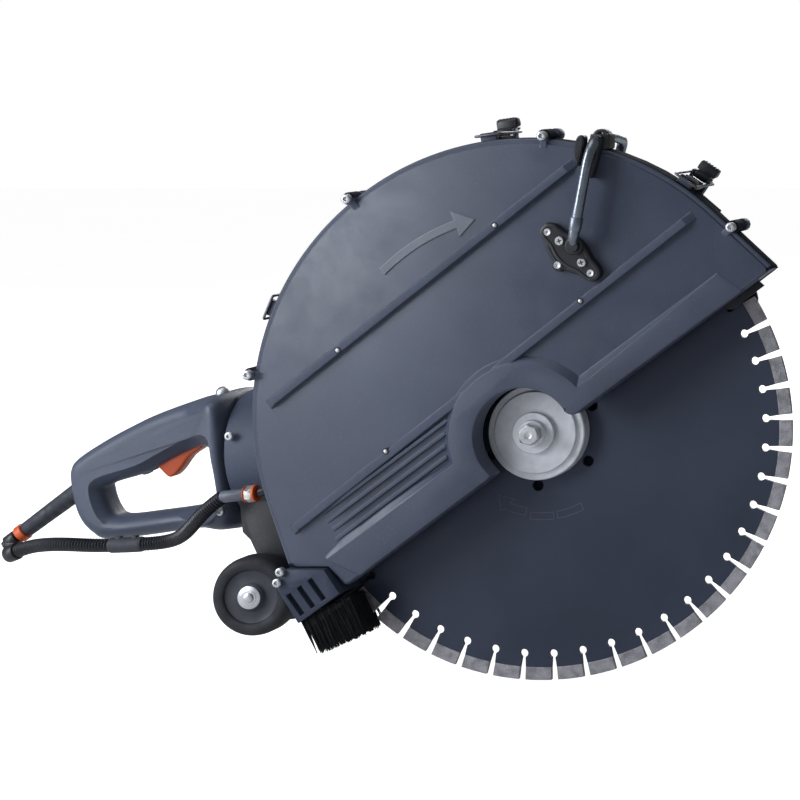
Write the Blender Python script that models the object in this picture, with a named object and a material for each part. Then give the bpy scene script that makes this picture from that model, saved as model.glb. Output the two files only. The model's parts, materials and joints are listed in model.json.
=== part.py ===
"""Electric concrete cut-off saw with a 450 mm diamond blade, wet guard, transport wheels and D-handle.

Lengths are in millimetres and are scaled to metres when a mesh is made. Shapes are drawn about the centre
of the blade's bore, on the blade's middle plane, and the whole saw then hangs on one empty that puts the
middle of the gear housing's flat foot at the world's origin. +X points forward, +Y along the spindle from
the blade towards the motor, and +Z up.
"""

from math import asin, atan2, cos, degrees, pi, radians, sin

import bmesh
import bpy
from mathutils import Matrix, Vector

MM = 0.001
GAP = 0.3

# Blade and spindle
BLADE_R = 225.0
BLADE_HALF = 1.6
BORE_R = 12.7
SEGMENTS = 48
SLOT_HOLE_R = 3.6
SLOT_HOLE_AT = 201.0
SLOT_HALF = 1.6
DRIVE_HOLE_R = 5.0
DRIVE_HOLE_AT = 50.0
DRIVE_HOLE_PHASE = 26.0
SLOT_PHASE = -0.8
SPINDLE_R = 9.0
FLANGE_R = 43.2
FLANGE_DISC_R = 36.0
SPIGOT_R = BORE_R - GAP

# Motor line: it crosses the spindle's axis and falls to the rear
MOTOR_Y = 90.0
MOTOR_TILT = radians(7.0)
MOTOR_R = 61.0
MOTOR_END = 305.0
GEARBOX_R = 54.0
GEARBOX_NEAR = 24.0
GEARBOX_FAR = 122.0
FOOT_LOW = (-24.0, 46.0, -62.0)
FOOT_HIGH = (24.0, 106.0, -40.0)
FOOT_MIDDLE = (0.0, 76.0, -62.0)

# Bevel gears, whose cones meet where the motor line crosses the spindle's axis
PINION_TEETH = 8
GEAR_TEETH = 32
GEAR_PITCH_R = 42.0
GEAR_FACE = 10.0

# Guard: one big arc, a tangent down each end and a straight lower edge past the spindle
GUARD_C = (0.9, 20.3)
GUARD_R = 243.0
GUARD_FRONT = -38.0
COVER_BACK = -24.0
BAND_BACK = -16.0
SHELL_BACK = 18.0
WALL = 3.5
ARC_RIGHT = 47.0
ARC_LEFT = 199.0
EDGE_ANGLE = radians(36.7)
EDGE_OFFSET = 11.5
GUARD_BOTTOM = -116.0
BLOCK_CORNER = -174.5
ARCH_R = 43.3
LOWER_REAR_X = -159.0
RING_TOP_R = 65.0
RING_FOOT_R = 71.0
PROUD = 6.0
BLADE_CLEAR_R = 228.5
BLADE_CLEAR_HALF = 4.5

# Round the rim, in degrees about the guard's centre
SCREW_ANGLES = (171.9, 129.5, 86.3, 42.1)
LATCH_ANGLES = (158.0, 98.4, 55.9)
BOSS_STAND_OFF = 2.5

# Wheels
WHEEL_X = -266.0
WHEEL_Z = -152.0
WHEEL_R = 36.0
WHEEL_W = 26.0
WHEEL_NEAR_Y = 5.0
WHEEL_FAR_Y = 66.0
AXLE_R = 5.0

# Handle
HANDLE_Y = 84.0
GRIP_HALF = 20.0
NECK_HALF = 52.0

FINISHES = {
    "housing_plastic": ((0.075, 0.085, 0.10), 0.45, 0.0),
    "black_plastic": ((0.02, 0.02, 0.022), 0.5, 0.0),
    "cast_alloy": ((0.30, 0.31, 0.32), 0.5, 0.8),
    "zinc_steel": ((0.62, 0.63, 0.65), 0.32, 1.0),
    "machined_steel": ((0.45, 0.45, 0.46), 0.3, 1.0),
    "blade_steel": ((0.05, 0.055, 0.065), 0.45, 0.5),
    "copper_winding": ((0.55, 0.25, 0.12), 0.4, 1.0),
    "carbon": ((0.03, 0.03, 0.03), 0.7, 0.0),
    "orange_plastic": ((0.75, 0.12, 0.02), 0.4, 0.0),
    "soft_rubber": ((0.03, 0.03, 0.033), 0.75, 0.0),
    "grey_rubber": ((0.13, 0.14, 0.155), 0.6, 0.0),
    "bristle": ((0.015, 0.015, 0.017), 0.8, 0.0),
    "painted_tube": ((0.12, 0.13, 0.14), 0.35, 0.3),
}


# ---------------------------------------------------------------- mesh helpers

def clear_scene():
    for obj in list(bpy.data.objects):
        bpy.data.objects.remove(obj, do_unlink=True)


def hang_point():
    """The empty that carries every piece and sets the foot's middle on the world's origin."""
    found = bpy.data.objects.get("saw")
    if not found:
        found = bpy.data.objects.new("saw", None)
        found.location = -Vector(FOOT_MIDDLE) * MM
        bpy.context.scene.collection.objects.link(found)
    return found


def finish_of(slot):
    """The shared Principled material of one finish."""
    found = bpy.data.materials.get(slot)
    if found:
        return found
    colour, roughness, metallic = FINISHES[slot]
    made = bpy.data.materials.new(slot)
    made.use_nodes = True
    shader = made.node_tree.nodes["Principled BSDF"]
    shader.inputs["Base Color"].default_value = (*colour, 1.0)
    shader.inputs["Roughness"].default_value = roughness
    shader.inputs["Metallic"].default_value = metallic
    return made


def place(origin=(0, 0, 0), axis=(0, 0, 1)):
    """A matrix whose local Z runs along axis from origin, with local X kept as near +X as it can be."""
    along = Vector(axis).normalized()
    across = Vector((1, 0, 0)) if abs(along.x) < 0.9 else Vector((0, 1, 0))
    side = (across - along * across.dot(along)).normalized()
    up = along.cross(side)
    turn = Matrix((side, up, along)).transposed().to_4x4()
    return Matrix.Translation(Vector(origin) * MM) @ turn


def new_object(name, bm, slot, matrix=None, smooth=True):
    """Close a bmesh into a named object with its finish; points in the bmesh are millimetres."""
    bmesh.ops.scale(bm, vec=(MM, MM, MM), verts=bm.verts)
    bmesh.ops.recalc_face_normals(bm, faces=bm.faces)
    mesh = bpy.data.meshes.new(name)
    bm.to_mesh(mesh)
    bm.free()
    if smooth:
        mesh.shade_smooth()
        mesh.set_sharp_from_angle(angle=radians(32))
    mesh.materials.append(finish_of(slot))
    obj = bpy.data.objects.new(name, mesh)
    obj.parent = hang_point()
    obj.matrix_basis = matrix or Matrix.Identity(4)
    bpy.context.scene.collection.objects.link(obj)
    return obj


def bridge(bm, first, second):
    """Faces between two rings of vertices; a ring of one vertex is a pole."""
    count = max(len(first), len(second))
    for i in range(count):
        j = (i + 1) % count
        if len(first) == 1:
            bm.faces.new((first[0], second[i], second[j]))
        elif len(second) == 1:
            bm.faces.new((first[i], first[j], second[0]))
        else:
            bm.faces.new((first[i], first[j], second[j], second[i]))


def turned(name, profile, slot, origin=(0, 0, 0), axis=(0, 1, 0), segments=32):
    """Spin a (radius, along) profile round an axis: a closed loop, or open from axis to axis."""
    bm = bmesh.new()
    rings = []
    for radius, along in profile:
        if radius == 0:
            rings.append([bm.verts.new((0, 0, along))])
            continue
        steps = [2 * pi * i / segments for i in range(segments)]
        rings.append([bm.verts.new((radius * cos(t), radius * sin(t), along)) for t in steps])
    for first, second in zip(rings, rings[1:]):
        bridge(bm, first, second)
    if profile[0][0] > 0:
        bridge(bm, rings[-1], rings[0])
    return new_object(name, bm, slot, place(origin, axis))


def rod(name, radius, start, end, slot, origin=(0, 0, 0), axis=(0, 1, 0), segments=16):
    profile = [(0, start), (radius, start), (radius, end), (0, end)]
    return turned(name, profile, slot, origin, axis, segments)


def sleeve(name, inner, outer, start, end, slot, origin=(0, 0, 0), axis=(0, 1, 0), segments=24):
    profile = [(inner, start), (outer, start), (outer, end), (inner, end)]
    return turned(name, profile, slot, origin, axis, segments)


def loft(name, sections, slot, origin=(0, 0, 0), matrix=None, smooth=True):
    """Join outlines given as lists of (x, y, z) with equally many points, and cap both ends."""
    bm = bmesh.new()
    base = Vector(origin)
    rings = [[bm.verts.new(Vector(p) - base) for p in section] for section in sections]
    for first, second in zip(rings, rings[1:]):
        bridge(bm, first, second)
    bm.faces.new(rings[0])
    bm.faces.new(rings[-1])
    return new_object(name, bm, slot, matrix or Matrix.Translation(base * MM), smooth)


def prism(name, outline, near, far, slot, origin=(0, 0, 0), matrix=None, smooth=True):
    """Extrude an (x, z) outline along Y."""
    sections = [[(x, y, z) for x, z in outline] for y in (near, far)]
    return loft(name, sections, slot, origin, matrix, smooth)


def box(name, low, high, slot, matrix=None, origin=(0, 0, 0)):
    outline = [(low[0], low[2]), (high[0], low[2]), (high[0], high[2]), (low[0], high[2])]
    return prism(name, outline, low[1], high[1], slot, origin, matrix, False)


def tube(name, path, radius, slot, sides=8, rounded=0.0, radii=None, origin=(0, 0, 0), matrix=None):
    """A round bar along a path; corners are rounded to the given radius by short arcs of points."""
    points = soften(path, rounded) if rounded else [Vector(p) for p in path]
    spans = [(b - a).normalized() for a, b in zip(points, points[1:])]
    tangents = [spans[0]] + [(a + b).normalized() for a, b in zip(spans, spans[1:])] + [spans[-1]]
    helper = Vector((0, 0, 1)) if abs(tangents[0].z) < 0.9 else Vector((1, 0, 0))
    side = tangents[0].cross(helper).normalized()
    bm = bmesh.new()
    rings = []
    for index, (point, tangent) in enumerate(zip(points, tangents)):
        side = (side - tangent * side.dot(tangent)).normalized()
        up = tangent.cross(side)
        size = radii[index] if radii else radius
        turns = [2 * pi * i / sides for i in range(sides)]
        ring = [point - Vector(origin) + (side * cos(t) + up * sin(t)) * size for t in turns]
        rings.append([bm.verts.new(p) for p in ring])
    for first, second in zip(rings, rings[1:]):
        bridge(bm, first, second)
    bm.faces.new(rings[0])
    bm.faces.new(rings[-1])
    return new_object(name, bm, slot, matrix or Matrix.Translation(Vector(origin) * MM))


def soften(path, radius, steps=2):
    """The path with each inner corner replaced by an arc-like quadratic bend."""
    points = [Vector(p) for p in path]
    out = [points[0]]
    for before, corner, after in zip(points, points[1:], points[2:]):
        reach_in = min(radius, (corner - before).length * 0.48)
        reach_out = min(radius, (after - corner).length * 0.48)
        start = corner + (before - corner).normalized() * reach_in
        end = corner + (after - corner).normalized() * reach_out
        for i in range(steps + 1):
            t = i / steps
            out.append(start * (1 - t) ** 2 + corner * 2 * t * (1 - t) + end * t ** 2)
    return out + [points[-1]]


def combine(obj, operation, others, label):
    """One exact Boolean of obj with all the others, which stay as hidden helpers."""
    group = bpy.data.collections.new(f"{obj.name}_{label}")
    bpy.context.scene.collection.children.link(group)
    for other in others:
        for owner in list(other.users_collection):
            owner.objects.unlink(other)
        group.objects.link(other)
        other.hide_render = True
        other.display_type = "WIRE"
    modifier = obj.modifiers.new(label, "BOOLEAN")
    modifier.operation = operation
    modifier.solver = "EXACT"
    modifier.operand_type = "COLLECTION"
    modifier.collection = group
    return obj


def join(obj, others):
    return combine(obj, "UNION", others, "added")


def cut(obj, others):
    return combine(obj, "DIFFERENCE", others, "removed")


# ---------------------------------------------------------------- plane geometry

def polar(centre, radius, angle):
    return (centre[0] + radius * cos(radians(angle)), centre[1] + radius * sin(radians(angle)))


def arc(centre, radius, start, end, count):
    return [polar(centre, radius, start + (end - start) * i / count) for i in range(count + 1)]


def line_meet(normal_a, reach_a, normal_b, reach_b):
    """Where two lines, each given by a normal and its distance from the origin, cross."""
    det = normal_a[0] * normal_b[1] - normal_a[1] * normal_b[0]
    x = (reach_a * normal_b[1] - reach_b * normal_a[1]) / det
    z = (normal_a[0] * reach_b - normal_b[0] * reach_a) / det
    return (x, z)


def unit(angle):
    return (cos(radians(angle)), sin(radians(angle)))


EDGE_NORMAL = (sin(EDGE_ANGLE), -cos(EDGE_ANGLE))
EDGE_RUN = (cos(EDGE_ANGLE), sin(EDGE_ANGLE))


def on_edge(along, out=EDGE_OFFSET):
    """A point by its distance along the guard's lower edge and outwards from the spindle."""
    return (EDGE_RUN[0] * along + EDGE_NORMAL[0] * out, EDGE_RUN[1] * along + EDGE_NORMAL[1] * out)


def rim_line(angle, inset):
    """The tangent of the guard's arc at an angle, moved inwards: its normal and distance."""
    normal = unit(angle)
    reach = GUARD_C[0] * normal[0] + GUARD_C[1] * normal[1] + GUARD_R - inset
    return normal, reach


def rim_path(inset, steps=32):
    """The guard's rim from the front tip over the top to the lower rear corner."""
    right, left = rim_line(ARC_RIGHT, inset), rim_line(ARC_LEFT, inset)
    tip = line_meet(*right, EDGE_NORMAL, EDGE_OFFSET)
    corner = line_meet(*left, (0, -1), -GUARD_BOTTOM)
    return [tip] + arc(GUARD_C, GUARD_R - inset, ARC_RIGHT, ARC_LEFT, steps) + [corner]


def ring_crossing(radius, out):
    """Half the chord that a line parallel to the lower edge cuts from a circle round the spindle."""
    return (radius ** 2 - out ** 2) ** 0.5


def arch(radius, out, count=14):
    """The arc round the spindle between two crossings of the lower edge, rear crossing first."""
    half = ring_crossing(radius, out)
    rear = on_edge(-half, out)
    front = on_edge(half, out)
    start = degrees(atan2(rear[1], rear[0])) % 360
    end = degrees(atan2(front[1], front[0]))
    return arc((0, 0), radius, start, end, count)


def cover_outline(inset=0.0):
    """The front cover's outline, from the tip round the rim and back along the arched lower edge."""
    rim = rim_path(inset)
    out = EDGE_OFFSET - inset
    rear_corner = (BLOCK_CORNER + inset, GUARD_BOTTOM + inset)
    along = (LOWER_REAR_X + inset - EDGE_NORMAL[0] * out) / EDGE_RUN[0]
    rear_end = on_edge(along, out)
    tip = line_meet(*rim_line(ARC_RIGHT, inset), EDGE_NORMAL, out)
    rim[-1] = line_meet(*rim_line(ARC_LEFT, inset), (0, -1), -(GUARD_BOTTOM + inset))
    rim[0] = tip
    opening = arch(ARCH_R + inset, out)
    shoulder = on_edge(ring_crossing(ARCH_R + inset, out) + 6.0, out)
    return rim + [rear_corner, rear_end] + opening + [shoulder]


# ---------------------------------------------------------------- motor line

MOTOR_DIR = Vector((-cos(MOTOR_TILT), 0, -sin(MOTOR_TILT)))
MOTOR_ORIGIN = Vector((0, MOTOR_Y, 0))
MOTOR_AXIS = tuple(MOTOR_DIR)


def on_motor(along, up=0.0, side=0.0):
    """A point by its distance back along the motor line, above it and to its side."""
    lift = Vector((-sin(MOTOR_TILT), 0, cos(MOTOR_TILT)))
    return tuple(MOTOR_ORIGIN + MOTOR_DIR * along + lift * up + Vector((0, side, 0)))


# ---------------------------------------------------------------- blade and spindle

def blade_outline():
    """The blade's rim: a keyhole slot and a segment, 48 times."""
    pitch = 360.0 / SEGMENTS
    mouth = degrees(asin(1.5 * SLOT_HALF / BLADE_R))
    half = degrees(asin(SLOT_HOLE_R / SLOT_HOLE_AT))
    points = []
    for i in range(SEGMENTS):
        a = (i + 0.5) * pitch + SLOT_PHASE
        shape = ((BLADE_R, -mouth), (SLOT_HOLE_AT, -half), (SLOT_HOLE_AT - SLOT_HOLE_R, 0),
                 (SLOT_HOLE_AT, half), (BLADE_R, mouth))
        points += [polar((0, 0), radius, a + turn) for radius, turn in shape]
    return points


def make_blade():
    blade = prism("blade", blade_outline(), -BLADE_HALF, BLADE_HALF, "blade_steel", smooth=False)
    holes = [rod("bore_cutter", BORE_R, -9, 9, "blade_steel", segments=32)]
    for i in range(6):
        x, z = polar((0, 0), DRIVE_HOLE_AT, DRIVE_HOLE_PHASE + 60 * i)
        holes.append(rod(f"drive_hole_cutter_{i}", DRIVE_HOLE_R, -9, 9, "blade_steel", (x, 0, z)))
    return cut(blade, holes)


def make_spindle_group():
    """Everything that turns with the blade, from the bolt's head back to the bevel gear."""
    face = BLADE_HALF + GAP
    turned("inner_flange", [
        (SPINDLE_R + GAP, face), (SPINDLE_R + GAP, -4.0), (SPIGOT_R, -4.0), (SPIGOT_R, face),
        (36.0, face), (36.0, face + 6.0), (24.0, face + 11.0), (SPINDLE_R + GAP, face + 11.0)],
        "machined_steel")
    turned("outer_flange", [
        (5.3, -17.0), (5.3, -4.3), (BORE_R, -4.3), (BORE_R, -face), (FLANGE_R, -face),
        (FLANGE_R, -12.5), (FLANGE_R - 1.5, -14.0), (FLANGE_DISC_R + 1.0, -14.0),
        (FLANGE_DISC_R, -17.0)], "zinc_steel", segments=32)
    sleeve("flange_washer", 5.3, 18.5, -25.0, -17.0 - GAP, "zinc_steel", segments=20)
    # The spindle's blind thread takes the bolt from the blade side.
    spindle = turned("spindle", [
        (0, -3.0), (SPINDLE_R, -3.0), (SPINDLE_R, 26.7), (11.5, 26.7), (11.5, 104.0),
        (8.7, 104.0), (8.7, 118.0), (0, 118.0)], "machined_steel", segments=24)
    cut(spindle, [rod("thread_cutter", 5.3, -9.0, 17.0, "machined_steel")])
    hexagon = [polar((0, 0), 8.5 / cos(radians(30)), 60 * i + 12) for i in range(6)]
    bolt = prism("spindle_bolt", hexagon, -32.0, -25.0 - GAP, "zinc_steel", smooth=False)
    join(bolt, [rod("bolt_shank", 5.0, -26.0, 15.0, "zinc_steel")])


def bevel_loop(bm, teeth, pitch_angle, distance, module, thickness, phase):
    """A ring of straight bevel teeth on a sphere round the cone apex, four points to a tooth."""
    outer = GEAR_PITCH_R / sin(atan2(GEAR_TEETH, PINION_TEETH))
    tip = pitch_angle + 0.80 * module / outer
    root = pitch_angle - 1.05 * module / outer
    pitch_r = module * teeth / 2
    tip_half = 0.5 * thickness * 0.45 / pitch_r
    root_half = 0.5 * thickness * 1.35 / pitch_r
    ring = []
    for i in range(teeth):
        middle = 2 * pi * i / teeth + phase
        shape = ((root, -root_half), (tip, -tip_half), (tip, tip_half), (root, root_half))
        for cone, turn in shape:
            flat = distance * sin(cone)
            a = middle + turn
            ring.append(bm.verts.new((flat * cos(a), flat * sin(a), distance * cos(cone))))
    return ring


def plain_loop(bm, like, radius, along):
    """A ring at one radius whose points keep the directions of another ring."""
    ring = []
    for vert in like:
        a = atan2(vert.co.y, vert.co.x)
        ring.append(bm.verts.new((radius * cos(a), radius * sin(a), along)))
    return ring


def make_bevel(name, teeth, mate, bore, back, axis, phase):
    """A bevel gear whose local Z runs from the apex to the gear's back."""
    module = 2 * GEAR_PITCH_R / GEAR_TEETH
    pitch_angle = atan2(teeth, mate)
    outer = GEAR_PITCH_R / sin(atan2(GEAR_TEETH, PINION_TEETH))
    thickness = 0.78 * module * pi / 2
    bm = bmesh.new()
    inner_ring = bevel_loop(bm, teeth, pitch_angle, outer - GEAR_FACE, module, thickness, phase)
    outer_ring = bevel_loop(bm, teeth, pitch_angle, outer, module, thickness, phase)
    front_at = (outer - GEAR_FACE) * cos(pitch_angle)
    back_at = outer * cos(pitch_angle) + back
    root_r = outer * sin(pitch_angle - 1.1 * module / outer)
    hub_front = plain_loop(bm, inner_ring, bore, front_at)
    hub_back = plain_loop(bm, inner_ring, bore, back_at)
    rim_back = plain_loop(bm, outer_ring, root_r, back_at)
    for first, second in (
        (hub_front, inner_ring), (inner_ring, outer_ring), (outer_ring, rim_back),
        (rim_back, hub_back), (hub_back, hub_front)):
        bridge(bm, first, second)
    return new_object(name, bm, "machined_steel", place(MOTOR_ORIGIN, axis), smooth=False)


def make_gears():
    """The pinion's tooth points at the gear, and the gear keeps a gap between two teeth there."""
    half_pitch = pi / GEAR_TEETH
    make_bevel("bevel_gear", GEAR_TEETH, PINION_TEETH, 11.5 + GAP, 9.0, (0, -1, 0),
               pi + MOTOR_TILT + half_pitch)
    make_bevel("bevel_pinion", PINION_TEETH, GEAR_TEETH, 6.0 + GAP, 4.0, MOTOR_AXIS, 0.0)


# ---------------------------------------------------------------- motor

def make_armature():
    turned("armature_shaft", [
        (0, 33.0), (6.0, 33.0), (6.0, 58.0), (8.5 - GAP, 58.0), (8.5 - GAP, 74.0), (7.5, 74.0),
        (7.5, 244.0), (6.0 - GAP, 244.0), (6.0 - GAP, 258.0), (0, 258.0)],
        "machined_steel", MOTOR_ORIGIN, MOTOR_AXIS, 20)
    slots = 12
    outline = []
    for i in range(slots):
        a = 360.0 * i / slots
        for radius, turn in ((27.0, 4.0), (27.0, 13.0), (27.0, 22.0), (18.0, 23.5), (18.0, 31.0)):
            outline.append(polar((0, 0), radius, a + turn - 4.0))
    bm = bmesh.new()
    rings = []
    for along in (120.0, 200.0):
        rings.append([bm.verts.new((x, y, along)) for x, y in outline])
    bores = [plain_loop(bm, rings[0], 7.5 + GAP, 120.0), plain_loop(bm, rings[1], 7.5 + GAP, 200.0)]
    bridge(bm, rings[0], rings[1])
    bridge(bm, rings[1], bores[1])
    bridge(bm, bores[1], bores[0])
    bridge(bm, bores[0], rings[0])
    new_object("armature_core", bm, "copper_winding", place(MOTOR_ORIGIN, MOTOR_AXIS), smooth=False)
    sleeve("commutator", 7.5 + GAP, 18.0, 208.0, 232.0, "copper_winding", MOTOR_ORIGIN, MOTOR_AXIS)
    fan = sleeve("cooling_fan", 7.5 + GAP, 44.0, 84.0, 87.0, "black_plastic", MOTOR_ORIGIN, MOTOR_AXIS)
    vanes = []
    base = place(MOTOR_ORIGIN, MOTOR_AXIS)
    for i in range(9):
        turn = base @ Matrix.Rotation(2 * pi * i / 9, 4, "Z")
        vanes.append(box(f"fan_vane_{i}", (14, -0.8, 86), (43, 0.8, 100), "black_plastic", turn))
    join(fan, vanes)


def make_stator():
    sleeve("stator", 28.0, 52.0, 118.0, 202.0, "machined_steel", MOTOR_ORIGIN, MOTOR_AXIS, 28)
    base = place(MOTOR_ORIGIN, MOTOR_AXIS)
    for label, low, high in (("near", 18.4, 40.0), ("far", -40.0, -18.4)):
        box(f"carbon_brush_{label}", (-3.5, low, 213.0), (3.5, high, 227.0), "carbon", base)


def make_bearings():
    for name, bore, outer, start, end, origin, axis in (
        ("spindle_bearing_front", 11.5 + GAP, 21.0, 28.0, 40.0, (0, 0, 0), (0, 1, 0)),
        ("spindle_bearing_rear", 8.7 + GAP, 17.5, 105.0, 116.0, (0, 0, 0), (0, 1, 0)),
        ("motor_bearing_front", 8.5, 17.5, 61.0, 73.0, MOTOR_ORIGIN, MOTOR_AXIS),
        ("motor_bearing_rear", 6.0, 13.0, 246.0, 256.0, MOTOR_ORIGIN, MOTOR_AXIS)):
        sleeve(name, bore, outer, start, end, "machined_steel", origin, axis)


def make_gear_housing():
    """A cup round the bevel gear with a nose through the guard and a socket for the motor."""
    cup = turned("gear_housing", [
        (21.0 + GAP, GEARBOX_NEAR - 10.0), (40.0, GEARBOX_NEAR - 10.0), (40.0, GEARBOX_NEAR),
        (GEARBOX_R, GEARBOX_NEAR + 2.0), (GEARBOX_R, GEARBOX_FAR - 10.0), (48.0, GEARBOX_FAR - 10.0),
        (48.0, 48.0), (16.0, 44.0), (16.0, 40.0 + GAP), (21.0 + GAP, 40.0 + GAP)],
        "cast_alloy", segments=28)
    socket = rod("motor_socket", 58.0 - GAP, 40.0, 80.0 - GAP, "cast_alloy", MOTOR_ORIGIN, MOTOR_AXIS, 28)
    foot = box("gear_foot", FOOT_LOW, FOOT_HIGH, "cast_alloy")
    join(cup, [socket, foot])
    hollow = rod("gear_hollow", 48.0, 48.0, GEARBOX_FAR + 30, "cast_alloy", segments=28)
    bore = turned("pinion_bore", [
        (0, 20.0), (15.0, 20.0), (15.0, 60.7), (17.5 + GAP, 60.7), (17.5 + GAP, 73.3), (30.0, 73.3),
        (46.0, 84.0), (0, 84.0)], "cast_alloy", MOTOR_ORIGIN, MOTOR_AXIS, 18)
    cut(cup, [hollow, bore])
    # The cover plugs the cup's far end and holds the rear bearing.
    cover = turned("gear_housing_cover", [
        (0, GEARBOX_FAR + 2), (50.0, GEARBOX_FAR + 2), (GEARBOX_R, GEARBOX_FAR - 1),
        (GEARBOX_R, GEARBOX_FAR - 10 + GAP), (48.0 - GAP, GEARBOX_FAR - 10 + GAP),
        (48.0 - GAP, GEARBOX_FAR - 17), (17.5 + GAP, GEARBOX_FAR - 17), (17.5 + GAP, GEARBOX_FAR - 2),
        (0, GEARBOX_FAR - 2)], "cast_alloy", segments=28)
    cut(cover, [rod("socket_clear", 58.0, 30.0, 95.0, "cast_alloy", MOTOR_ORIGIN, MOTOR_AXIS, 28)])


def make_motor_housing():
    """A tube with cooling slots and a rear web that holds the rear bearing."""
    tube_wall = 3.5
    inner = MOTOR_R - tube_wall
    shell = turned("motor_housing", [
        (58.0, 52.0), (MOTOR_R, 54.0), (MOTOR_R, MOTOR_END - 2), (inner + 1, MOTOR_END),
        (inner, MOTOR_END - 2), (inner, 262.0), (13.0 + GAP, 262.0), (13.0 + GAP, 244.0),
        (20.0, 244.0), (20.0, 256.0), (inner, 256.0), (inner, 100.0), (58.0, 80.0)],
        "housing_plastic", MOTOR_ORIGIN, MOTOR_AXIS, 36)
    base = place(MOTOR_ORIGIN, MOTOR_AXIS)
    slots = []
    for i in range(6):
        turn = base @ Matrix.Rotation(radians(60 * i + 30), 4, "Z")
        slots.append(box(f"vent_{i}", (50, -9, 84), (70, 9, 88), "housing_plastic", turn))
        slots.append(box(f"web_vent_{i}", (24, -8, 250), (50, 8, 270), "housing_plastic", turn))
    gearbox = rod("gearbox_clear", GEARBOX_R + GAP, 10, 160, "housing_plastic", segments=40)
    return cut(shell, slots + [gearbox])


# ---------------------------------------------------------------- guard

def rim_place(angle, stand_off=0.0):
    """A matrix on the guard's rim: X along the rim, Y as the saw's Y, Z straight out."""
    out = Vector((cos(radians(angle)), 0, sin(radians(angle))))
    along = Vector((out.z, 0, -out.x))
    centre = Vector((GUARD_C[0], 0, GUARD_C[1])) + out * (GUARD_R + stand_off)
    turn = Matrix((along, Vector((0, 1, 0)), out)).transposed().to_4x4()
    return Matrix.Translation(centre * MM) @ turn


def on_rim(angle, stand_off=0.0):
    centre = polar(GUARD_C, GUARD_R + stand_off, angle)
    return (centre[0], 0, centre[1])


def bar(name, start, end, half, near, far, slot, chamfer=0.0):
    """A straight raised bar on the cover, between two (x, z) points, its ends sloped."""
    a, b = Vector(start), Vector(end)
    run = (b - a).normalized()
    side = Vector((-run.y, run.x)) * half
    top = [a + run * chamfer + side * 0.8, a + run * chamfer - side * 0.8,
           b - run * chamfer - side * 0.8, b - run * chamfer + side * 0.8]
    foot = [a + side, a - side, b - side, b + side]
    sections = [[(p.x, near, p.y) for p in top], [(p.x, near + 1.0, p.y) for p in foot],
                [(p.x, far, p.y) for p in foot]]
    return loft(name, sections, slot, smooth=False)


RIBS = (((-226.0, 27.6), (44.0, 241.6)), ((-205.0, -83.0), (148.6, 195.0)))
# Louvres as (outwards, rear end, front end) along the lower edge
LOUVRES = ((-27.6, -188.0, -67.0), (-36.0, -185.0, -62.5), (-44.5, -185.0, -56.0), (-52.5, -184.0, -48.0))


# The border's edges as (ring radius, rear, rear middle, rear end, front, front end), the last five
# measured outwards from the lower edge's own line through the spindle.
BORDER_TOP = (RING_TOP_R, -17.5, -17.5, -17.5, -6.6, -14.0)
BORDER_FOOT = (RING_FOOT_R, -22.0, -26.6, -20.0, -13.8, -14.4)


def border_section(y_of, edges, inset):
    """The raised border that follows the lower edge and swells to a ring round the hub."""
    ring, rear_out, middle_out, rear_end, front_out, front_end = edges
    out = EDGE_OFFSET - inset
    rear = on_edge(-ring_crossing(ring, rear_out), rear_out)
    front = on_edge(ring_crossing(ring, front_out), front_out)
    start = degrees(atan2(rear[1], rear[0])) % 360
    end = degrees(atan2(front[1], front[0]))
    points = arc((0, 0), ring, start, end, 14)
    points += [on_edge(222.0 - inset, front_end), on_edge(226.0 - inset, out)]
    points += list(reversed(arch(ARCH_R + inset + 0.02, out, 14)))
    points += [on_edge(-203.0 + inset, out), on_edge(-205.0 + inset, rear_end), on_edge(-143.0, middle_out)]
    return [(x, y_of(x, z), z) for x, z in points]


def border_height(x, z):
    """Full height near the hub, sinking towards both far ends."""
    far = max(0.0, Vector((x, z)).length - 85.0)
    return PROUD * max(0.12, 1.0 - far / 150.0)


def make_cover():
    cover = prism("guard_front_cover", cover_outline(), GUARD_FRONT, COVER_BACK, "housing_plastic")
    hollow = prism("cover_hollow", cover_outline(WALL), GUARD_FRONT + WALL, 0.0, "housing_plastic")
    base = cut(cover, [hollow])
    added = [loft("cover_border", [
        border_section(lambda x, z: GUARD_FRONT - border_height(x, z), BORDER_TOP, 2.5),
        border_section(lambda x, z: GUARD_FRONT + 0.4, BORDER_FOOT, 0.0),
        border_section(lambda x, z: GUARD_FRONT + 2.0, BORDER_FOOT, 0.0)], "housing_plastic", smooth=False)]
    for i, (start, end) in enumerate(RIBS):
        added.append(bar(f"cover_rib_{i}", start, end, 4.5, GUARD_FRONT - 4.5, GUARD_FRONT + 1,
                         "housing_plastic", 5.0))
    for i, (out, rear_end, front_end) in enumerate(LOUVRES):
        rear, front = on_edge(rear_end, out), on_edge(front_end, out)
        added.append(bar(f"cover_louvre_{i}", rear, front, 2.0, GUARD_FRONT - 1.6, GUARD_FRONT + 1,
                         "housing_plastic", 1.5))
    bores = []
    for i, angle in enumerate(SCREW_ANGLES):
        spot = on_rim(angle, BOSS_STAND_OFF)
        added.append(rod(f"cover_boss_{i}", 5.6, GUARD_FRONT - 1.5, COVER_BACK - GAP, "housing_plastic",
                         spot, segments=14))
        bores.append(rod(f"cover_bore_{i}", 2.6, -50.0, 20.0, "housing_plastic", spot, segments=8))
    for i, angle in enumerate(LATCH_ANGLES):
        added.append(box(f"catch_{i}", (-7, -32.1, -3), (7, -26.0, 7.0), "housing_plastic",
                         rim_place(angle)))
    join(base, added)
    cut(base, bores)
    return base


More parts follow.
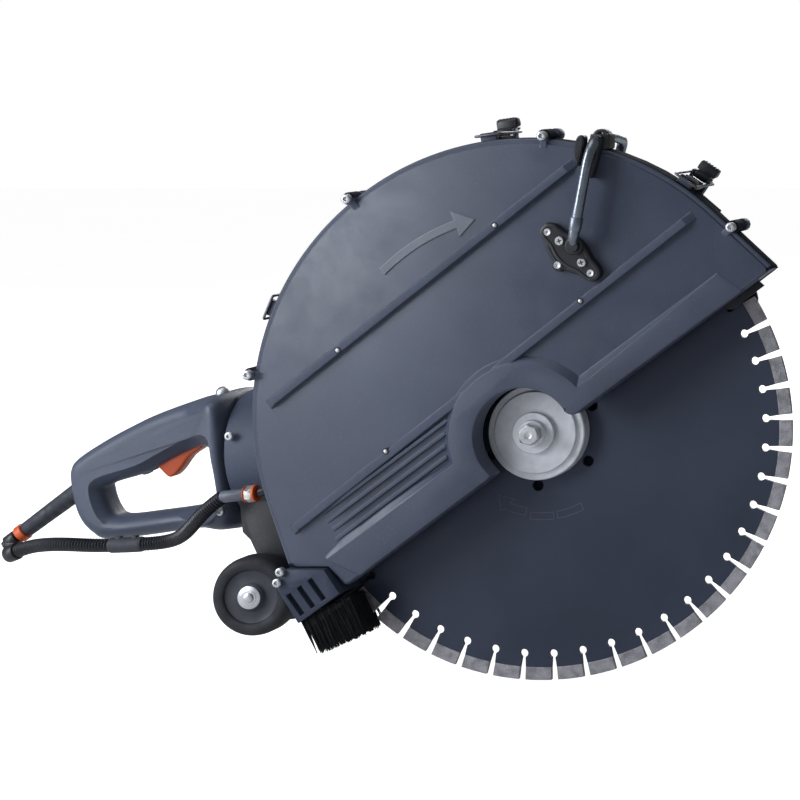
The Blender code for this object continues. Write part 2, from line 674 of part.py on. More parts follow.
# The rear shell narrows away from the cover: (y, inset, lean to the rear)
SHELL_STEPS = ((-15.7, 3.0, 0.0), (5.0, 6.0, 6.0), (13.0, 8.0, 6.0), (SHELL_BACK, 12.0, 6.0))
SHELL_BOSS_END = -6.0
SCREW_END = -8.0


def shell_section(y, inset, lean):
    rim = [(x - lean, z) for x, z in rim_path(inset)]
    return [(x, y, z) for x, z in rim + [(BLOCK_CORNER, GUARD_BOTTOM), on_edge(-206.0)]]


def hollow_section(y, inset, lean):
    """The tray's inside, carried past the lower edge so that the tray is open there."""
    rim = rim_path(inset)[1:-1]
    rim.append(line_meet(*rim_line(ARC_LEFT, inset), (0, -1), -GUARD_BOTTOM - WALL))
    tip = line_meet(*rim_line(ARC_RIGHT, inset), EDGE_NORMAL, 60.0)
    rim = [(x - lean, z) for x, z in rim]
    beyond = [(BLOCK_CORNER - 2, GUARD_BOTTOM + WALL), on_edge(-215, 60), on_edge(260, 60), tip]
    return [(x, y, z) for x, z in rim + beyond]


def make_rear_shell():
    """A shallow tray behind the blade, open along the lower edge where the blade comes out."""
    shell = loft("guard_rear_shell", [shell_section(*step) for step in SHELL_STEPS], "housing_plastic")
    steps = [(y, inset + WALL, lean) for y, inset, lean in SHELL_STEPS[:-1]]
    steps = [(BAND_BACK - 20, steps[0][1], 0.0)] + steps + [(SHELL_BACK - WALL, steps[-1][1] + 1.0, 6.0)]
    hollow = loft("shell_hollow", [hollow_section(*step) for step in steps], "housing_plastic")
    added = [rod("shell_hub", 66.0, SHELL_BACK - WALL, SHELL_BACK - 0.1, "housing_plastic", segments=40)]
    bores = [rod("shell_bore", 40.0 + GAP, -10.0, 40.0, "housing_plastic", segments=40)]
    for i, angle in enumerate(SCREW_ANGLES):
        spot = on_rim(angle, BOSS_STAND_OFF)
        start = BAND_BACK + 2 * GAP
        added.append(rod(f"shell_boss_{i}", 5.8, start, SHELL_BOSS_END, "housing_plastic", spot, segments=12))
        added.append(box(f"shell_boss_web_{i}", (-3.0, start, -9.0), (3.0, SHELL_BOSS_END - 1.0, 1.0),
                         "housing_plastic", rim_place(angle)))
        bores.append(rod(f"shell_bore_{i}", 2.6, -50.0, SCREW_END + GAP, "housing_plastic", spot, segments=8))
    for i, angle in enumerate(LATCH_ANGLES):
        for side in (-1, 1):
            low, high = sorted((side * 7.4, side * 9.4))
            added.append(box(f"latch_lug_{i}_{side}", (low, 2.0, -14.0), (high, 10.0, 9.0),
                             "housing_plastic", rim_place(angle)))
    clearance = rod("shell_blade_clear", BLADE_CLEAR_R, -BLADE_CLEAR_HALF, BLADE_CLEAR_HALF,
                    "housing_plastic", segments=64)
    cut(shell, [hollow])
    join(shell, added)
    cut_again(shell, bores + [clearance])


def cut_again(obj, others):
    return combine(obj, "DIFFERENCE", others, "bored")


def make_band():
    """The black seal strip between the cover and the rear shell."""
    outer, inner = rim_path(0.3), rim_path(7.0)
    outline = outer[1:-1] + list(reversed(inner[1:-1]))
    prism("guard_band", outline, COVER_BACK + GAP, BAND_BACK, "soft_rubber")


def make_cover_screws():
    for i, angle in enumerate(SCREW_ANGLES, 1):
        turned(f"cover_screw_{i}", [
            (0, -46.0), (3.0, -46.0), (4.2, -44.6), (4.2, GUARD_FRONT - 1.5 - GAP),
            (2.3, GUARD_FRONT - 1.5 - GAP), (2.3, SCREW_END), (0, SCREW_END)],
            "zinc_steel", on_rim(angle, BOSS_STAND_OFF), segments=12)


LEVER_PIVOT = (6.0, 6.0)
BAIL_PIVOT = (14.0, 5.0)
LEVER_PLATE = ((2, 3.5), (18, 3.5), (21, 7.0), (28, 7.6), (28, 10.3), (2, 10.3))
LEVER_KNOB = ((9.5, 10.1), (22.0, 10.1), (24.0, 13.0), (22.0, 19.0), (19.5, 20.0), (12.0, 20.0), (9.5, 17.5))


def lever_slice(name, outline, half, matrix):
    """A (y, z) outline of the latch lever carried across the rim."""
    sections = [[(x, y, z) for y, z in outline] for x in (-half, half)]
    return loft(name, sections, "black_plastic", (0, *LEVER_PIVOT), matrix, False)


def make_latches():
    """A draw latch: the lever hinges on two lugs, and its wire bail hooks over the cover's catch."""
    for i, angle in enumerate(LATCH_ANGLES, 1):
        base = rim_place(angle)
        lever_at = base @ Matrix.Translation(Vector((0, *LEVER_PIVOT)) * MM)
        bail_at = base @ Matrix.Translation(Vector((0, *BAIL_PIVOT)) * MM)
        lever = lever_slice(f"latch_lever_{i}", LEVER_PLATE, 7.0, lever_at)
        join(lever, [lever_slice(f"latch_knob_{i}", LEVER_KNOB, 9.5, lever_at)])
        y, z = BAIL_PIVOT
        path = ((7.5, y, z), (11, y, z), (11, -33.5, z), (-11, -33.5, z), (-11, y, z), (-7.5, y, z))
        tube(f"latch_bail_{i}", path, 1.1, "zinc_steel", 6, 2.0, origin=(0, y, z), matrix=bail_at)


def make_brush():
    """The dust brush and its slotted holder at the guard's lower rear corner."""
    left = line_meet(*rim_line(ARC_LEFT, 0.0), (0, -1), -GUARD_BOTTOM + GAP)
    outline = [(left[0], left[1]), (BLOCK_CORNER - GAP, GUARD_BOTTOM - GAP), (-160.8, -137.5),
               (-163.0, -139.0), (-197.0, -163.5), (-217.0, -131.0)]
    block = prism("brush_block", outline, -44.0, SHELL_BACK, "housing_plastic", smooth=False)
    cutters = [rod("block_blade_clear", BLADE_CLEAR_R, -BLADE_CLEAR_HALF, BLADE_CLEAR_HALF,
                   "housing_plastic", segments=64)]
    run = Vector((34.0, 24.0)).normalized()
    deep = Vector((-run.y, run.x))
    for i in range(3):
        middle = Vector((-197.0, -163.5)) + run * (7.5 + 11.5 * i)
        a, b = middle + deep * 4.0, middle + deep * 26.0
        cutters.append(bar(f"block_slot_{i}", tuple(a), tuple(b), 2.4, -50.0, -38.0, "housing_plastic"))
    cut(block, cutters)
    bristles = [(-197.6, -164.6), (-178.5, -193.0), (-138.8, -163.4), (-152.5, -142.5), (-163.4, -140.0)]
    prism("bristle_strip", bristles, -40.0, -10.0, "bristle", smooth=False)


def make_flap():
    """The rubber splash flap under the cover's front tip."""
    start, end = on_edge(196.0, EDGE_OFFSET + 6.0), on_edge(244.0, EDGE_OFFSET + 6.0)
    run = Vector(end) - Vector(start)
    lip = Vector((EDGE_NORMAL[0], EDGE_NORMAL[1]))
    outline = [Vector(start) - lip * 9, Vector(end) - lip * 9 - run * 0.06, Vector(end) - run * 0.02,
               Vector(start) + run * 0.25]
    prism("rubber_flap", [tuple(p) for p in outline], -22.0, -18.0, "soft_rubber", smooth=False)


# ---------------------------------------------------------------- water line

HOSE_R = 6.2
BEHIND_Y = 24.2
TUBE_R = 4.25
TUBE_X = 64.0
TUBE_TOP = 263.0


def make_water():
    tube("water_tube", [
        (46.5, -46.0, 168.5), (47.5, -50.0, 173.5), (49.5, -54.5, 179.0), (61.5, -54.5, 244.0),
        (TUBE_X, -47.0, TUBE_TOP - 2), (TUBE_X + 1.5, -10.0, TUBE_TOP + 1), (TUBE_X, BEHIND_Y, TUBE_TOP - 4),
        (56.5, BEHIND_Y, 236.0), (53.6, BEHIND_Y, 229.5)],
        TUBE_R, "painted_tube", 10, 9.0)
    # The supply hose runs behind the guard, from the rear coupling to the rim.
    path = []
    for angle in range(76, 180, 17):
        x, z = polar(GUARD_C, GUARD_R - 34.0, angle)
        path.append((x, BEHIND_Y, z))
    path += [(-222.0, BEHIND_Y, -28.0), (-242.0, BEHIND_Y, -47.0), (-257.0, 15.5, -58.0),
             (-261.5, 14.8, -59.2)]
    tube("rear_hose", path, TUBE_R, "soft_rubber", 6, 14.0)
    start = (-263.8, 14.6, -59.7)
    run = Vector((-38.2, 1.5, -4.5)).normalized()
    steps = ((0.0, 7.8), (10.8, 7.8), (11.2, 6.6), (16.0, 6.6), (16.4, 5.4), (33.0, 5.4))
    tube("hose_coupling", [Vector(start) + run * along for along, _ in steps], 6.0, "grey_rubber", 12,
         radii=[size for _, size in steps])
    tube("water_hose", [
        (-300.8, 16.8, -66.2), (-316.0, 19.5, -78.7), (-329.0, 27.0, -90.7), (-342.0, 37.0, -100.7),
        (-354.0, 45.0, -107.2), (-378.7, 50.0, -112.4), (-404.0, 50.0, -114.0), (-433.6, 50.0, -114.6),
        (-458.0, 51.0, -113.4), (-476.5, 55.0, -114.4), (-497.6, 64.0, -117.8), (-513.0, 69.0, -122.5),
        (-523.0, 71.0, -126.3)],
        HOSE_R, "soft_rubber", 6, 12.0)


def make_tube_clip():
    """An arched clip that holds the water tube down on the guard's rim."""
    inner, outer = TUBE_R + GAP + 0.3, 8.0
    centre = (TUBE_X + 0.9, TUBE_TOP + 0.2)
    foot = 5.6
    outline = arc(centre, outer, 0, 180, 8) + [(centre[0] - outer, centre[1] - foot),
                                               (centre[0] - inner, centre[1] - foot)]
    outline += arc(centre, inner, 180, 0, 6) + [(centre[0] + inner, centre[1] - foot - 3),
                                                (centre[0] + outer, centre[1] - foot - 3)]
    prism("tube_clip", outline, -33.0, -22.5, "black_plastic")


def make_nozzle():
    """A lens-shaped block on the cover that feeds water to both sides of the blade."""
    centre = Vector((42.5, 163.0))
    run = Vector(unit(-44.0))
    side = Vector((-run.y, run.x))
    outline = []
    for t, width in ((-33, 4), (-27, 8.5), (-17, 9.5), (-8, 12.5), (0, 13.5), (8, 12.5), (17, 9.5),
                     (27, 8.5), (33, 4)):
        outline.append((t, width))
    points = [centre + run * t + side * w for t, w in outline]
    points += [centre + run * t - side * w for t, w in reversed(outline)]
    block = prism("nozzle_block", [tuple(p) for p in points], -46.0, GUARD_FRONT - GAP, "black_plastic")
    cutter = tube("nozzle_socket", [(46.5, -60.0, 168.5), (46.5, -41.5, 168.5)], TUBE_R + 3.4,
                  "black_plastic", 10)
    cut(block, [cutter])


# ---------------------------------------------------------------- wheels

def wheel_profile(near):
    """The wheel's section: a tread with rounded shoulders, a groove ring and a hub."""
    hub, rim = AXLE_R + GAP, WHEEL_R
    far = near + WHEEL_W
    return [(hub, near), (11.5, near), (13.0, near + 2.5), (24.0, near + 2.5), (26.0, near),
            (31.0, near), (rim, near + 5.0), (rim, far - 5.0), (31.0, far), (hub, far)]


def make_wheels():
    for name, near in (("wheel_near", WHEEL_NEAR_Y), ("wheel_far", WHEEL_FAR_Y)):
        turned(name, wheel_profile(near), "soft_rubber", (WHEEL_X, 0, WHEEL_Z), segments=28)
    end = WHEEL_FAR_Y + WHEEL_W
    near = WHEEL_NEAR_Y
    axle = turned("wheel_axle", [
        (0, near - 4.2), (6.6, near - 4.2), (6.6, near - 1.5), (10.3, near - 1.5), (10.3, near - GAP),
        (AXLE_R, near - GAP), (AXLE_R, end + GAP), (10.3, end + GAP), (10.3, end + 2), (0, end + 2)],
        "zinc_steel", (WHEEL_X, 0, WHEEL_Z), segments=18)
    return axle


def make_wheel_bracket():
    low, high = WHEEL_NEAR_Y + WHEEL_W + 3, WHEEL_FAR_Y - 3
    outline = [(-292, -60), (-222, -60), (-222, -120), (-247, -160), (-256, -168), (-276, -168),
               (-285, -158), (-283, -140), (-274, -121), (-281, -106), (-288, -99)]
    bracket = prism("wheel_bracket", outline, low, high, "black_plastic", smooth=False)
    clear = rod("bracket_motor_clear", MOTOR_R + GAP, 100.0, 330.0, "black_plastic", MOTOR_ORIGIN,
                MOTOR_AXIS, 48)
    bore = rod("bracket_bore", AXLE_R + GAP, 0, 120, "black_plastic", (WHEEL_X, 0, WHEEL_Z), segments=18)
    above = box("bracket_top_clear", (-330, 0, -66), (-200, MOTOR_Y, 60), "black_plastic")
    cut(bracket, [clear, bore, above])


# ---------------------------------------------------------------- handle

HANDLE_OUTER = (
    (-309.5, 20.5), (-336.8, 20.2), (-356.9, 14.7), (-391.2, 2.1), (-415.4, -9.5), (-438.5, -22.1),
    (-462.2, -37.7), (-468.8, -47.8), (-468.8, -60.9), (-464.7, -82.5), (-457.7, -98.2), (-446.6, -109.2),
    (-434.5, -114.3), (-399.3, -110.8), (-357.9, -104.7), (-333.8, -101.7), (-296.0, -95.5),
    (-302.0, -37.0))
HANDLE_OPENING = (
    (-435.0, -62.9), (-438.0, -70.0), (-432.0, -86.0), (-422.4, -92.1), (-389.2, -88.6), (-350.9, -83.0),
    (-336.8, -77.0), (-332.8, -72.0), (-333.8, -60.9), (-337.8, -39.7), (-340.8, -29.7), (-350.9, -28.2),
    (-375.1, -39.2), (-400.3, -52.3))
TRIGGER_PIVOT = (-346.9, -16.6)
TRIGGER = (
    (-342.5, -20.1), (-349.9, -29.7), (-361.0, -37.7), (-371.0, -51.3), (-379.1, -56.8), (-387.1, -50.3),
    (-390.2, -44.7), (-381.1, -32.6), (-361.0, -19.6), (-349.9, -13.0), (-342.9, -13.5))
TRIGGER_HALF = 7.5
SWITCH_LOW = (-370.0, -9.6)
SWITCH_HIGH = (-331.0, 4.6)
SWITCH_HALF = 10.5
LOCK_BUTTON = (-392.0, 0, -16.0)
CORD_START = Vector((-441.0, HANDLE_Y, -50.5))
CORD_END = Vector((-515.0, HANDLE_Y - 3.0, -106.5))
CORD_RUN = (CORD_END - CORD_START).normalized()


def handle_half_width(x):
    """Half the handle's width: broad at the motor, slim along the grip."""
    t = min(1.0, max(0.0, (x + 362.0) / 48.0))
    return GRIP_HALF + (NECK_HALF - GRIP_HALF) * t * t * (3 - 2 * t)


def shrunk(outline, amount):
    """A closed outline moved inwards, corner by corner."""
    points = [Vector(p) for p in outline]
    area = sum(a.x * b.y - b.x * a.y for a, b in zip(points, points[1:] + points[:1]))
    turn = 1 if area > 0 else -1
    out = []
    for before, here, after in zip([points[-1]] + points[:-1], points, points[1:] + [points[0]]):
        first = (here - before).normalized()
        second = (after - here).normalized()
        normal = Vector((-(first.y + second.y), first.x + second.x)).normalized() * turn
        spread = max(0.5, Vector((-first.y, first.x)).dot(normal * turn))
        out.append(here + normal * amount / spread)
    return [tuple(p) for p in out]


def make_handle():
    """Two mirrored half shells that meet on the handle's middle plane."""
    steps = ((0.0, 0.0), (0.45, 1.2), (0.78, 5.0), (0.96, 11.0))
    for label, side in (("near", -1), ("far", 1)):
        sections = []
        for depth, inset in steps:
            ring = shrunk(HANDLE_OUTER, inset)
            sections.append([(x, HANDLE_Y + side * (GAP / 2 + (handle_half_width(x) - GAP) * depth), z)
                             for x, z in ring])
        shell = loft(f"handle_{label}_shell", sections, "housing_plastic")
        opening = []
        for depth, inset in ((-2.0, 0.0), (7.0, 0.0), (14.0, -3.0), (60.0, -12.0)):
            ring = shrunk(HANDLE_OPENING, inset)
            opening.append([(x, HANDLE_Y + side * depth, z) for x, z in ring])
        cutters = [loft(f"opening_{label}", opening, "housing_plastic")]
        cutters.append(box(f"trigger_pocket_{label}", (-397, HANDLE_Y - 8.5, -54.8), (-342, HANDLE_Y + 8.5, -10.5),
                           "housing_plastic"))
        wide = SWITCH_HALF + GAP
        cutters.append(box(f"switch_pocket_{label}", (SWITCH_LOW[0] - 4, HANDLE_Y - wide, SWITCH_LOW[1] - 1.8),
                           (SWITCH_HIGH[0] + GAP, HANDLE_Y + wide, SWITCH_HIGH[1] + GAP), "housing_plastic"))
        cutters.append(tube(f"cord_pocket_{label}", [CORD_START - CORD_RUN * 8, CORD_START + CORD_RUN * 46],
                            10.0, "housing_plastic", 14))
        cutters.append(rod(f"lock_bore_{label}", 5.5, HANDLE_Y + 5, HANDLE_Y + 60, "housing_plastic",
                           LOCK_BUTTON, segments=14))
        cutters.append(rod(f"motor_end_{label}", MOTOR_R + 2, 200, MOTOR_END + GAP, "housing_plastic",
                           MOTOR_ORIGIN, MOTOR_AXIS, 48))
        cut(shell, cutters)


def make_handle_contents():
    box("switch_body", (SWITCH_LOW[0], HANDLE_Y - SWITCH_HALF, SWITCH_LOW[1]),
        (SWITCH_HIGH[0], HANDLE_Y + SWITCH_HALF, SWITCH_HIGH[1]), "black_plastic")
    x, z = TRIGGER_PIVOT
    prism("trigger", TRIGGER, HANDLE_Y - TRIGGER_HALF, HANDLE_Y + TRIGGER_HALF, "orange_plastic",
          (x, HANDLE_Y, z))
    rod("lock_off_button", 5.0, HANDLE_Y + 9.0, HANDLE_Y + GRIP_HALF + 5, "orange_plastic", LOCK_BUTTON,
        segments=14)


def make_cord():
    """The boot that stops the cord from kinking, the ring at its end, and a short run of cord."""
    start, end, run = CORD_START, CORD_END, CORD_RUN
    boot = tube("cord_boot", [start, start + run * 22, start + run * 24, end], 9.0, "grey_rubber", 16,
                 radii=[9.2, 9.2, 8.6, 7.0])
    cut(boot, [tube("boot_bore", [start - run * 5, end + run * 5], 4.6, "grey_rubber", 12)])
    ring_start = end + run * GAP
    ring = tube("cord_ring", [ring_start, ring_start + run * 7.0], 8.0, "orange_plastic", 20)
    cut(ring, [tube("ring_bore", [ring_start - run, ring_start + run * 9], 4.6, "orange_plastic", 12)])
    tube("power_cord", [start + run * 1, end + run * 10, end + run * 17, end + run * 24], 4.3,
         "soft_rubber", 10)
    clip_at = end + run * 15.0
    clip = tube("cord_hose_clip", [clip_at - run * 5, clip_at + run * 5], 6.3, "black_plastic", 16)
    hole = tube("clip_bore", [clip_at - run * 9, clip_at + run * 9], 4.6, "black_plastic", 12)
    cut(clip, [hole])


def make_front_handle():
    """A bow over the gear housing, with a rubber grip across its top."""
    x = 10.0
    top = 150.0
    tube("front_handle", [
        (x, 44.0, 55.0), (x, 44.0, top), (x, 188.0, top), (x, 188.0, 0.0), (x, GEARBOX_FAR + 2 + GAP, 0.0)],
        8.0, "painted_tube", 12, 18.0)
    sleeve("front_grip", 8.0 + GAP, 14.0, 68.0, 166.0, "soft_rubber", (x, 0, top), segments=20)


def main():
    clear_scene()
    make_blade()
    make_spindle_group()
    make_gears()
    make_armature()
    make_stator()
    make_bearings()
    make_gear_housing()
    make_motor_housing()
    make_cover()
    make_rear_shell()
    make_band()
    make_cover_screws()
    make_latches()
    make_brush()
    make_flap()
    make_water()
    make_tube_clip()
    make_nozzle()
    make_wheels()
    make_wheel_bracket()
    make_handle()
    make_handle_contents()
    make_cord()
    make_front_handle()


main()
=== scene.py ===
"""Looks of the electric concrete cut-off saw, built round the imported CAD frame."""

import json
import random
from math import asin, atan2, cos, degrees, pi, radians, sin

import bmesh
import bpy
from mathutils import Matrix, Vector


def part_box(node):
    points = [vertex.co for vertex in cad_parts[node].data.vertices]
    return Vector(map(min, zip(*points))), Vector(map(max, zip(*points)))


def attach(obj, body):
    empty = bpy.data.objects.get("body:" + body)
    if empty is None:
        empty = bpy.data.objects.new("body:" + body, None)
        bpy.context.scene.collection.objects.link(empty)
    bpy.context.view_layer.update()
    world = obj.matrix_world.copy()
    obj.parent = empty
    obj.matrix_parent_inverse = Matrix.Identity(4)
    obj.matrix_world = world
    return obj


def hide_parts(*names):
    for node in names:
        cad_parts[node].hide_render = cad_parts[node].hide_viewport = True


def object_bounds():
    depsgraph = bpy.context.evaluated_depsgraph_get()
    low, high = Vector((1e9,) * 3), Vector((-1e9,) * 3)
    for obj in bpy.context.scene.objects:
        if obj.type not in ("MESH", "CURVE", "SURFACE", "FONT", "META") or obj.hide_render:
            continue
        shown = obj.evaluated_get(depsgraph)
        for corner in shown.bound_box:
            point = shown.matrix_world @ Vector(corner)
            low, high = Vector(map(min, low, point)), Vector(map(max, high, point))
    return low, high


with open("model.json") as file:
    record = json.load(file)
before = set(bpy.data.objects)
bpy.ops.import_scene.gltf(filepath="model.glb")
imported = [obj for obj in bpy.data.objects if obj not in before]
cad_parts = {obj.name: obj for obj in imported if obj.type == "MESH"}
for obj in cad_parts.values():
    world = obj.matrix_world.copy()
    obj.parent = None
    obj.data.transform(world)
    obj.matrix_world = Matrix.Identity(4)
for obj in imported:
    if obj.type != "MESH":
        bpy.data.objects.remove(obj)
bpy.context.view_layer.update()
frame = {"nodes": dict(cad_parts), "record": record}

MM = 0.001
BODY, SPIN = "saw_body", "spindle_group"


def middle(node):
    """The centre of a CAD node's box, in metres."""
    low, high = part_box(node)
    return (low + high) / 2


def flat(point):
    """A point's place across and up from the hub, in millimetres."""
    return Vector(((point.x - HUB.x) / MM, (point.z - HUB.z) / MM))


HUB = middle("blade")


def circle_through(a, b, c):
    """The centre and radius of the circle through three points of the plane."""
    d = 2 * (a.x * (b.y - c.y) + b.x * (c.y - a.y) + c.x * (a.y - b.y))
    aa, bb, cc = a.length_squared, b.length_squared, c.length_squared
    centre = Vector((aa * (b.y - c.y) + bb * (c.y - a.y) + cc * (a.y - b.y),
                     aa * (c.x - b.x) + bb * (a.x - c.x) + cc * (b.x - a.x))) / d
    return centre, (a - centre).length


SCREW_SPOTS = [flat(middle(f"cover_screw_{i}")) for i in (1, 2, 3, 4)]
GUARD_C, SCREW_R = circle_through(*SCREW_SPOTS[:3])
BOSS_STAND_OFF = 2.5
GUARD_R = SCREW_R - BOSS_STAND_OFF
BLADE_R = 225.0
EDGE = Vector((cos(radians(36.7)), sin(radians(36.7))))
OUTWARD = Vector((EDGE.y, -EDGE.x))


# ---------------------------------------------------------------- materials

class Nodes:
    """A short way to wire one material's or world's node tree."""

    def __init__(self, tree):
        self.tree = tree

    def add(self, kind, **inputs):
        node = self.tree.nodes.new(kind)
        for key, value in inputs.items():
            if hasattr(node, key):
                setattr(node, key, value)
            else:
                self.feed(node, key.replace("_", " "), value)
        return node

    def feed(self, node, key, value):
        socket = node.inputs[int(key)] if key.isdigit() else node.inputs[key]
        if hasattr(value, "is_output"):
            self.tree.links.new(value, socket)
        elif hasattr(socket.default_value, "__len__") and len(socket.default_value) == 4:
            socket.default_value = (*value, 1.0)[:4]
        else:
            socket.default_value = value

    def math(self, operation, a, b=0.0):
        node = self.add("ShaderNodeMath", operation=operation)
        self.feed(node, "0", a)
        self.feed(node, "1", b)
        return node.outputs[0]

    def noise(self, scale, detail=3.0, vector=None, rough=0.5):
        node = self.add("ShaderNodeTexNoise", Scale=scale, Detail=detail, Roughness=rough)
        self.feed(node, "Vector", vector or self.place())
        return node.outputs["Fac"]

    def place(self):
        return self.add("ShaderNodeTexCoord").outputs["Object"]

    def spread(self, value, low, high, start=0.35, end=0.65):
        node = self.add("ShaderNodeMapRange")
        for key, number in (("Value", value), ("From Min", start), ("From Max", end),
                            ("To Min", low), ("To Max", high)):
            self.feed(node, key, number)
        return node.outputs[0]

    def mix(self, share, first, second):
        node = self.add("ShaderNodeMix", data_type="RGBA")
        self.feed(node, "0", share)
        for socket, value in ((node.inputs[6], first), (node.inputs[7], second)):
            if hasattr(value, "is_output"):
                self.tree.links.new(value, socket)
            else:
                socket.default_value = (*value, 1.0)
        return node.outputs[2]

    def radius(self, centre):
        """Distance from an axis along Y through centre."""
        parts = self.add("ShaderNodeSeparateXYZ", Vector=self.place())
        across = self.math("SUBTRACT", parts.outputs[0], centre.x)
        up = self.math("SUBTRACT", parts.outputs[2], centre.z)
        square = self.math("ADD", self.math("MULTIPLY", across, across), self.math("MULTIPLY", up, up))
        return self.math("SQRT", square)


def material(name):
    """A new material with its node helper and its shader."""
    made = bpy.data.materials.new(name)
    made.use_nodes = True
    nodes = Nodes(made.node_tree)
    return made, nodes, made.node_tree.nodes["Principled BSDF"]


def worn(nodes, base, light, share=0.5):
    """The base colour, lighter along its outer edges."""
    point = nodes.add("ShaderNodeNewGeometry").outputs["Pointiness"]
    edge = nodes.spread(point, 0.0, share, 0.52, 0.60)
    broken = nodes.math("MULTIPLY", edge, nodes.spread(nodes.noise(160.0), 0.2, 1.0))
    return nodes.mix(broken, base, light)


def surface_bump(nodes, shader, heights, distance, round_off=0.0, strength=1.0):
    """Bump from a height, on a normal that rounds sharp edges over round_off metres."""
    bump = nodes.add("ShaderNodeBump", Strength=strength, Distance=distance)
    nodes.feed(bump, "Height", heights)
    if round_off:
        soft = nodes.add("ShaderNodeBevel", samples=6, Radius=round_off)
        nodes.feed(bump, "Normal", soft.outputs[0])
    nodes.feed(shader, "Normal", bump.outputs[0])


def plastic(name, colour, rough=0.42, grain=0.00006, round_off=0.0007, wear=0.35, cloud=0.10, sheen=0.5):
    """Moulded plastic: spark-eroded grain, faint clouding, smeared gloss and rubbed edges."""
    made, nodes, shader = material(name)
    clouds = nodes.noise(14.0, 4.0)
    dark = tuple(c * (1 - cloud) for c in colour)
    light = tuple(c * (1 + cloud) for c in colour)
    base = nodes.mix(nodes.spread(clouds, 0.0, 1.0), dark, light)
    dust = nodes.spread(nodes.noise(420.0, 2.0), 0.0, 0.05, 0.60, 0.75)
    base = nodes.mix(dust, base, (0.45, 0.46, 0.48))
    rubbed = tuple(min(1.0, c * 2.2 + 0.03) for c in colour)
    nodes.feed(shader, "Base Color", worn(nodes, base, rubbed, wear))
    smear = nodes.spread(nodes.noise(38.0, 5.0, rough=0.65), rough - 0.06, rough + 0.07)
    nodes.feed(shader, "Roughness", smear)
    shader.inputs["Specular IOR Level"].default_value = sheen
    grains = nodes.noise(2600.0, 2.0)
    surface_bump(nodes, shader, grains, grain, round_off)
    return made


def rubber(name, colour, rough=0.72, round_off=0.0006, dust=0.12, skin=0.0001, sheen=0.5):
    """Matt rubber with a fine skin and a little dust."""
    made, nodes, shader = material(name)
    dusty = nodes.spread(nodes.noise(60.0, 5.0), 0.0, dust, 0.5, 0.75)
    pale = tuple(c + extra for c, extra in zip(colour, (0.052, 0.058, 0.075)))
    nodes.feed(shader, "Base Color", nodes.mix(dusty, colour, pale))
    nodes.feed(shader, "Roughness", nodes.spread(nodes.noise(90.0), rough - 0.08, rough + 0.1))
    shader.inputs["Specular IOR Level"].default_value = sheen
    surface_bump(nodes, shader, nodes.noise(1400.0, 4.0), skin, round_off)
    return made


def metal(name, colour, rough=0.3, centre=None, ring_scale=2600.0, pits=0.2, round_off=0.0004, bare=1.0):
    """Plated or turned steel; with a centre, the turning marks run round it."""
    made, nodes, shader = material(name)
    if centre is None:
        marks = nodes.noise(900.0, 2.0)
    else:
        away = nodes.math("MULTIPLY", nodes.radius(centre), ring_scale)
        spot = nodes.add("ShaderNodeCombineXYZ")
        nodes.feed(spot, "X", away)
        marks = nodes.noise(1.0, 2.0, spot.outputs[0])
    stain = nodes.noise(55.0, 6.0, rough=0.7)
    darker = tuple(c * (1 - pits) for c in colour)
    base = nodes.mix(nodes.spread(stain, 0.0, 1.0), darker, colour)
    scratch = nodes.spread(marks, 0.0, 0.3, 0.45, 0.7)
    base = nodes.mix(scratch, base, tuple(min(1.0, c * 1.25) for c in colour))
    nodes.feed(shader, "Base Color", base)
    shader.inputs["Metallic"].default_value = bare
    both = nodes.math("ADD", nodes.spread(stain, rough - 0.05, rough + 0.15),
                      nodes.spread(marks, 0.0, 0.08))
    nodes.feed(shader, "Roughness", both)
    surface_bump(nodes, shader, marks, 0.00004, round_off)
    return made


def blade_coat(name, colour):
    """Coated steel sheet with faint grinding rings and smudges."""
    made, nodes, shader = material(name)
    away = nodes.math("MULTIPLY", nodes.radius(HUB), 1500.0)
    spot = nodes.add("ShaderNodeCombineXYZ")
    nodes.feed(spot, "X", away)
    rings = nodes.noise(1.0, 3.0, spot.outputs[0])
    smudge = nodes.noise(9.0, 6.0, rough=0.6)
    base = nodes.mix(nodes.spread(smudge, 0.0, 1.0), tuple(c * 0.88 for c in colour),
                     tuple(c * 1.12 for c in colour))
    base = nodes.mix(nodes.spread(rings, 0.0, 0.18, 0.5, 0.7), base, tuple(c * 1.6 for c in colour))
    nodes.feed(shader, "Base Color", base)
    shader.inputs["Metallic"].default_value = 0.35
    nodes.feed(shader, "Roughness", nodes.spread(smudge, 0.38, 0.52))
    surface_bump(nodes, shader, rings, 0.00003, 0.0003)
    return made


def grit(name, colour):
    """Sintered diamond segment: warm metal with pits and bright grains."""
    made, nodes, shader = material(name)
    cells = nodes.add("ShaderNodeTexVoronoi", Scale=900.0)
    nodes.feed(cells, "Vector", nodes.place())
    sparkle = nodes.spread(cells.outputs["Distance"], 1.0, 0.0, 0.05, 0.35)
    patchy = nodes.noise(120.0, 5.0)
    base = nodes.mix(nodes.spread(patchy, 0.0, 1.0), tuple(c * 0.6 for c in colour), colour)
    base = nodes.mix(nodes.math("MULTIPLY", sparkle, 0.35), base, (0.75, 0.72, 0.68))
    nodes.feed(shader, "Base Color", base)
    shader.inputs["Metallic"].default_value = 0.7
    nodes.feed(shader, "Roughness", nodes.spread(patchy, 0.42, 0.62))
    surface_bump(nodes, shader, cells.outputs["Distance"], 0.00025, 0.0003)
    return made


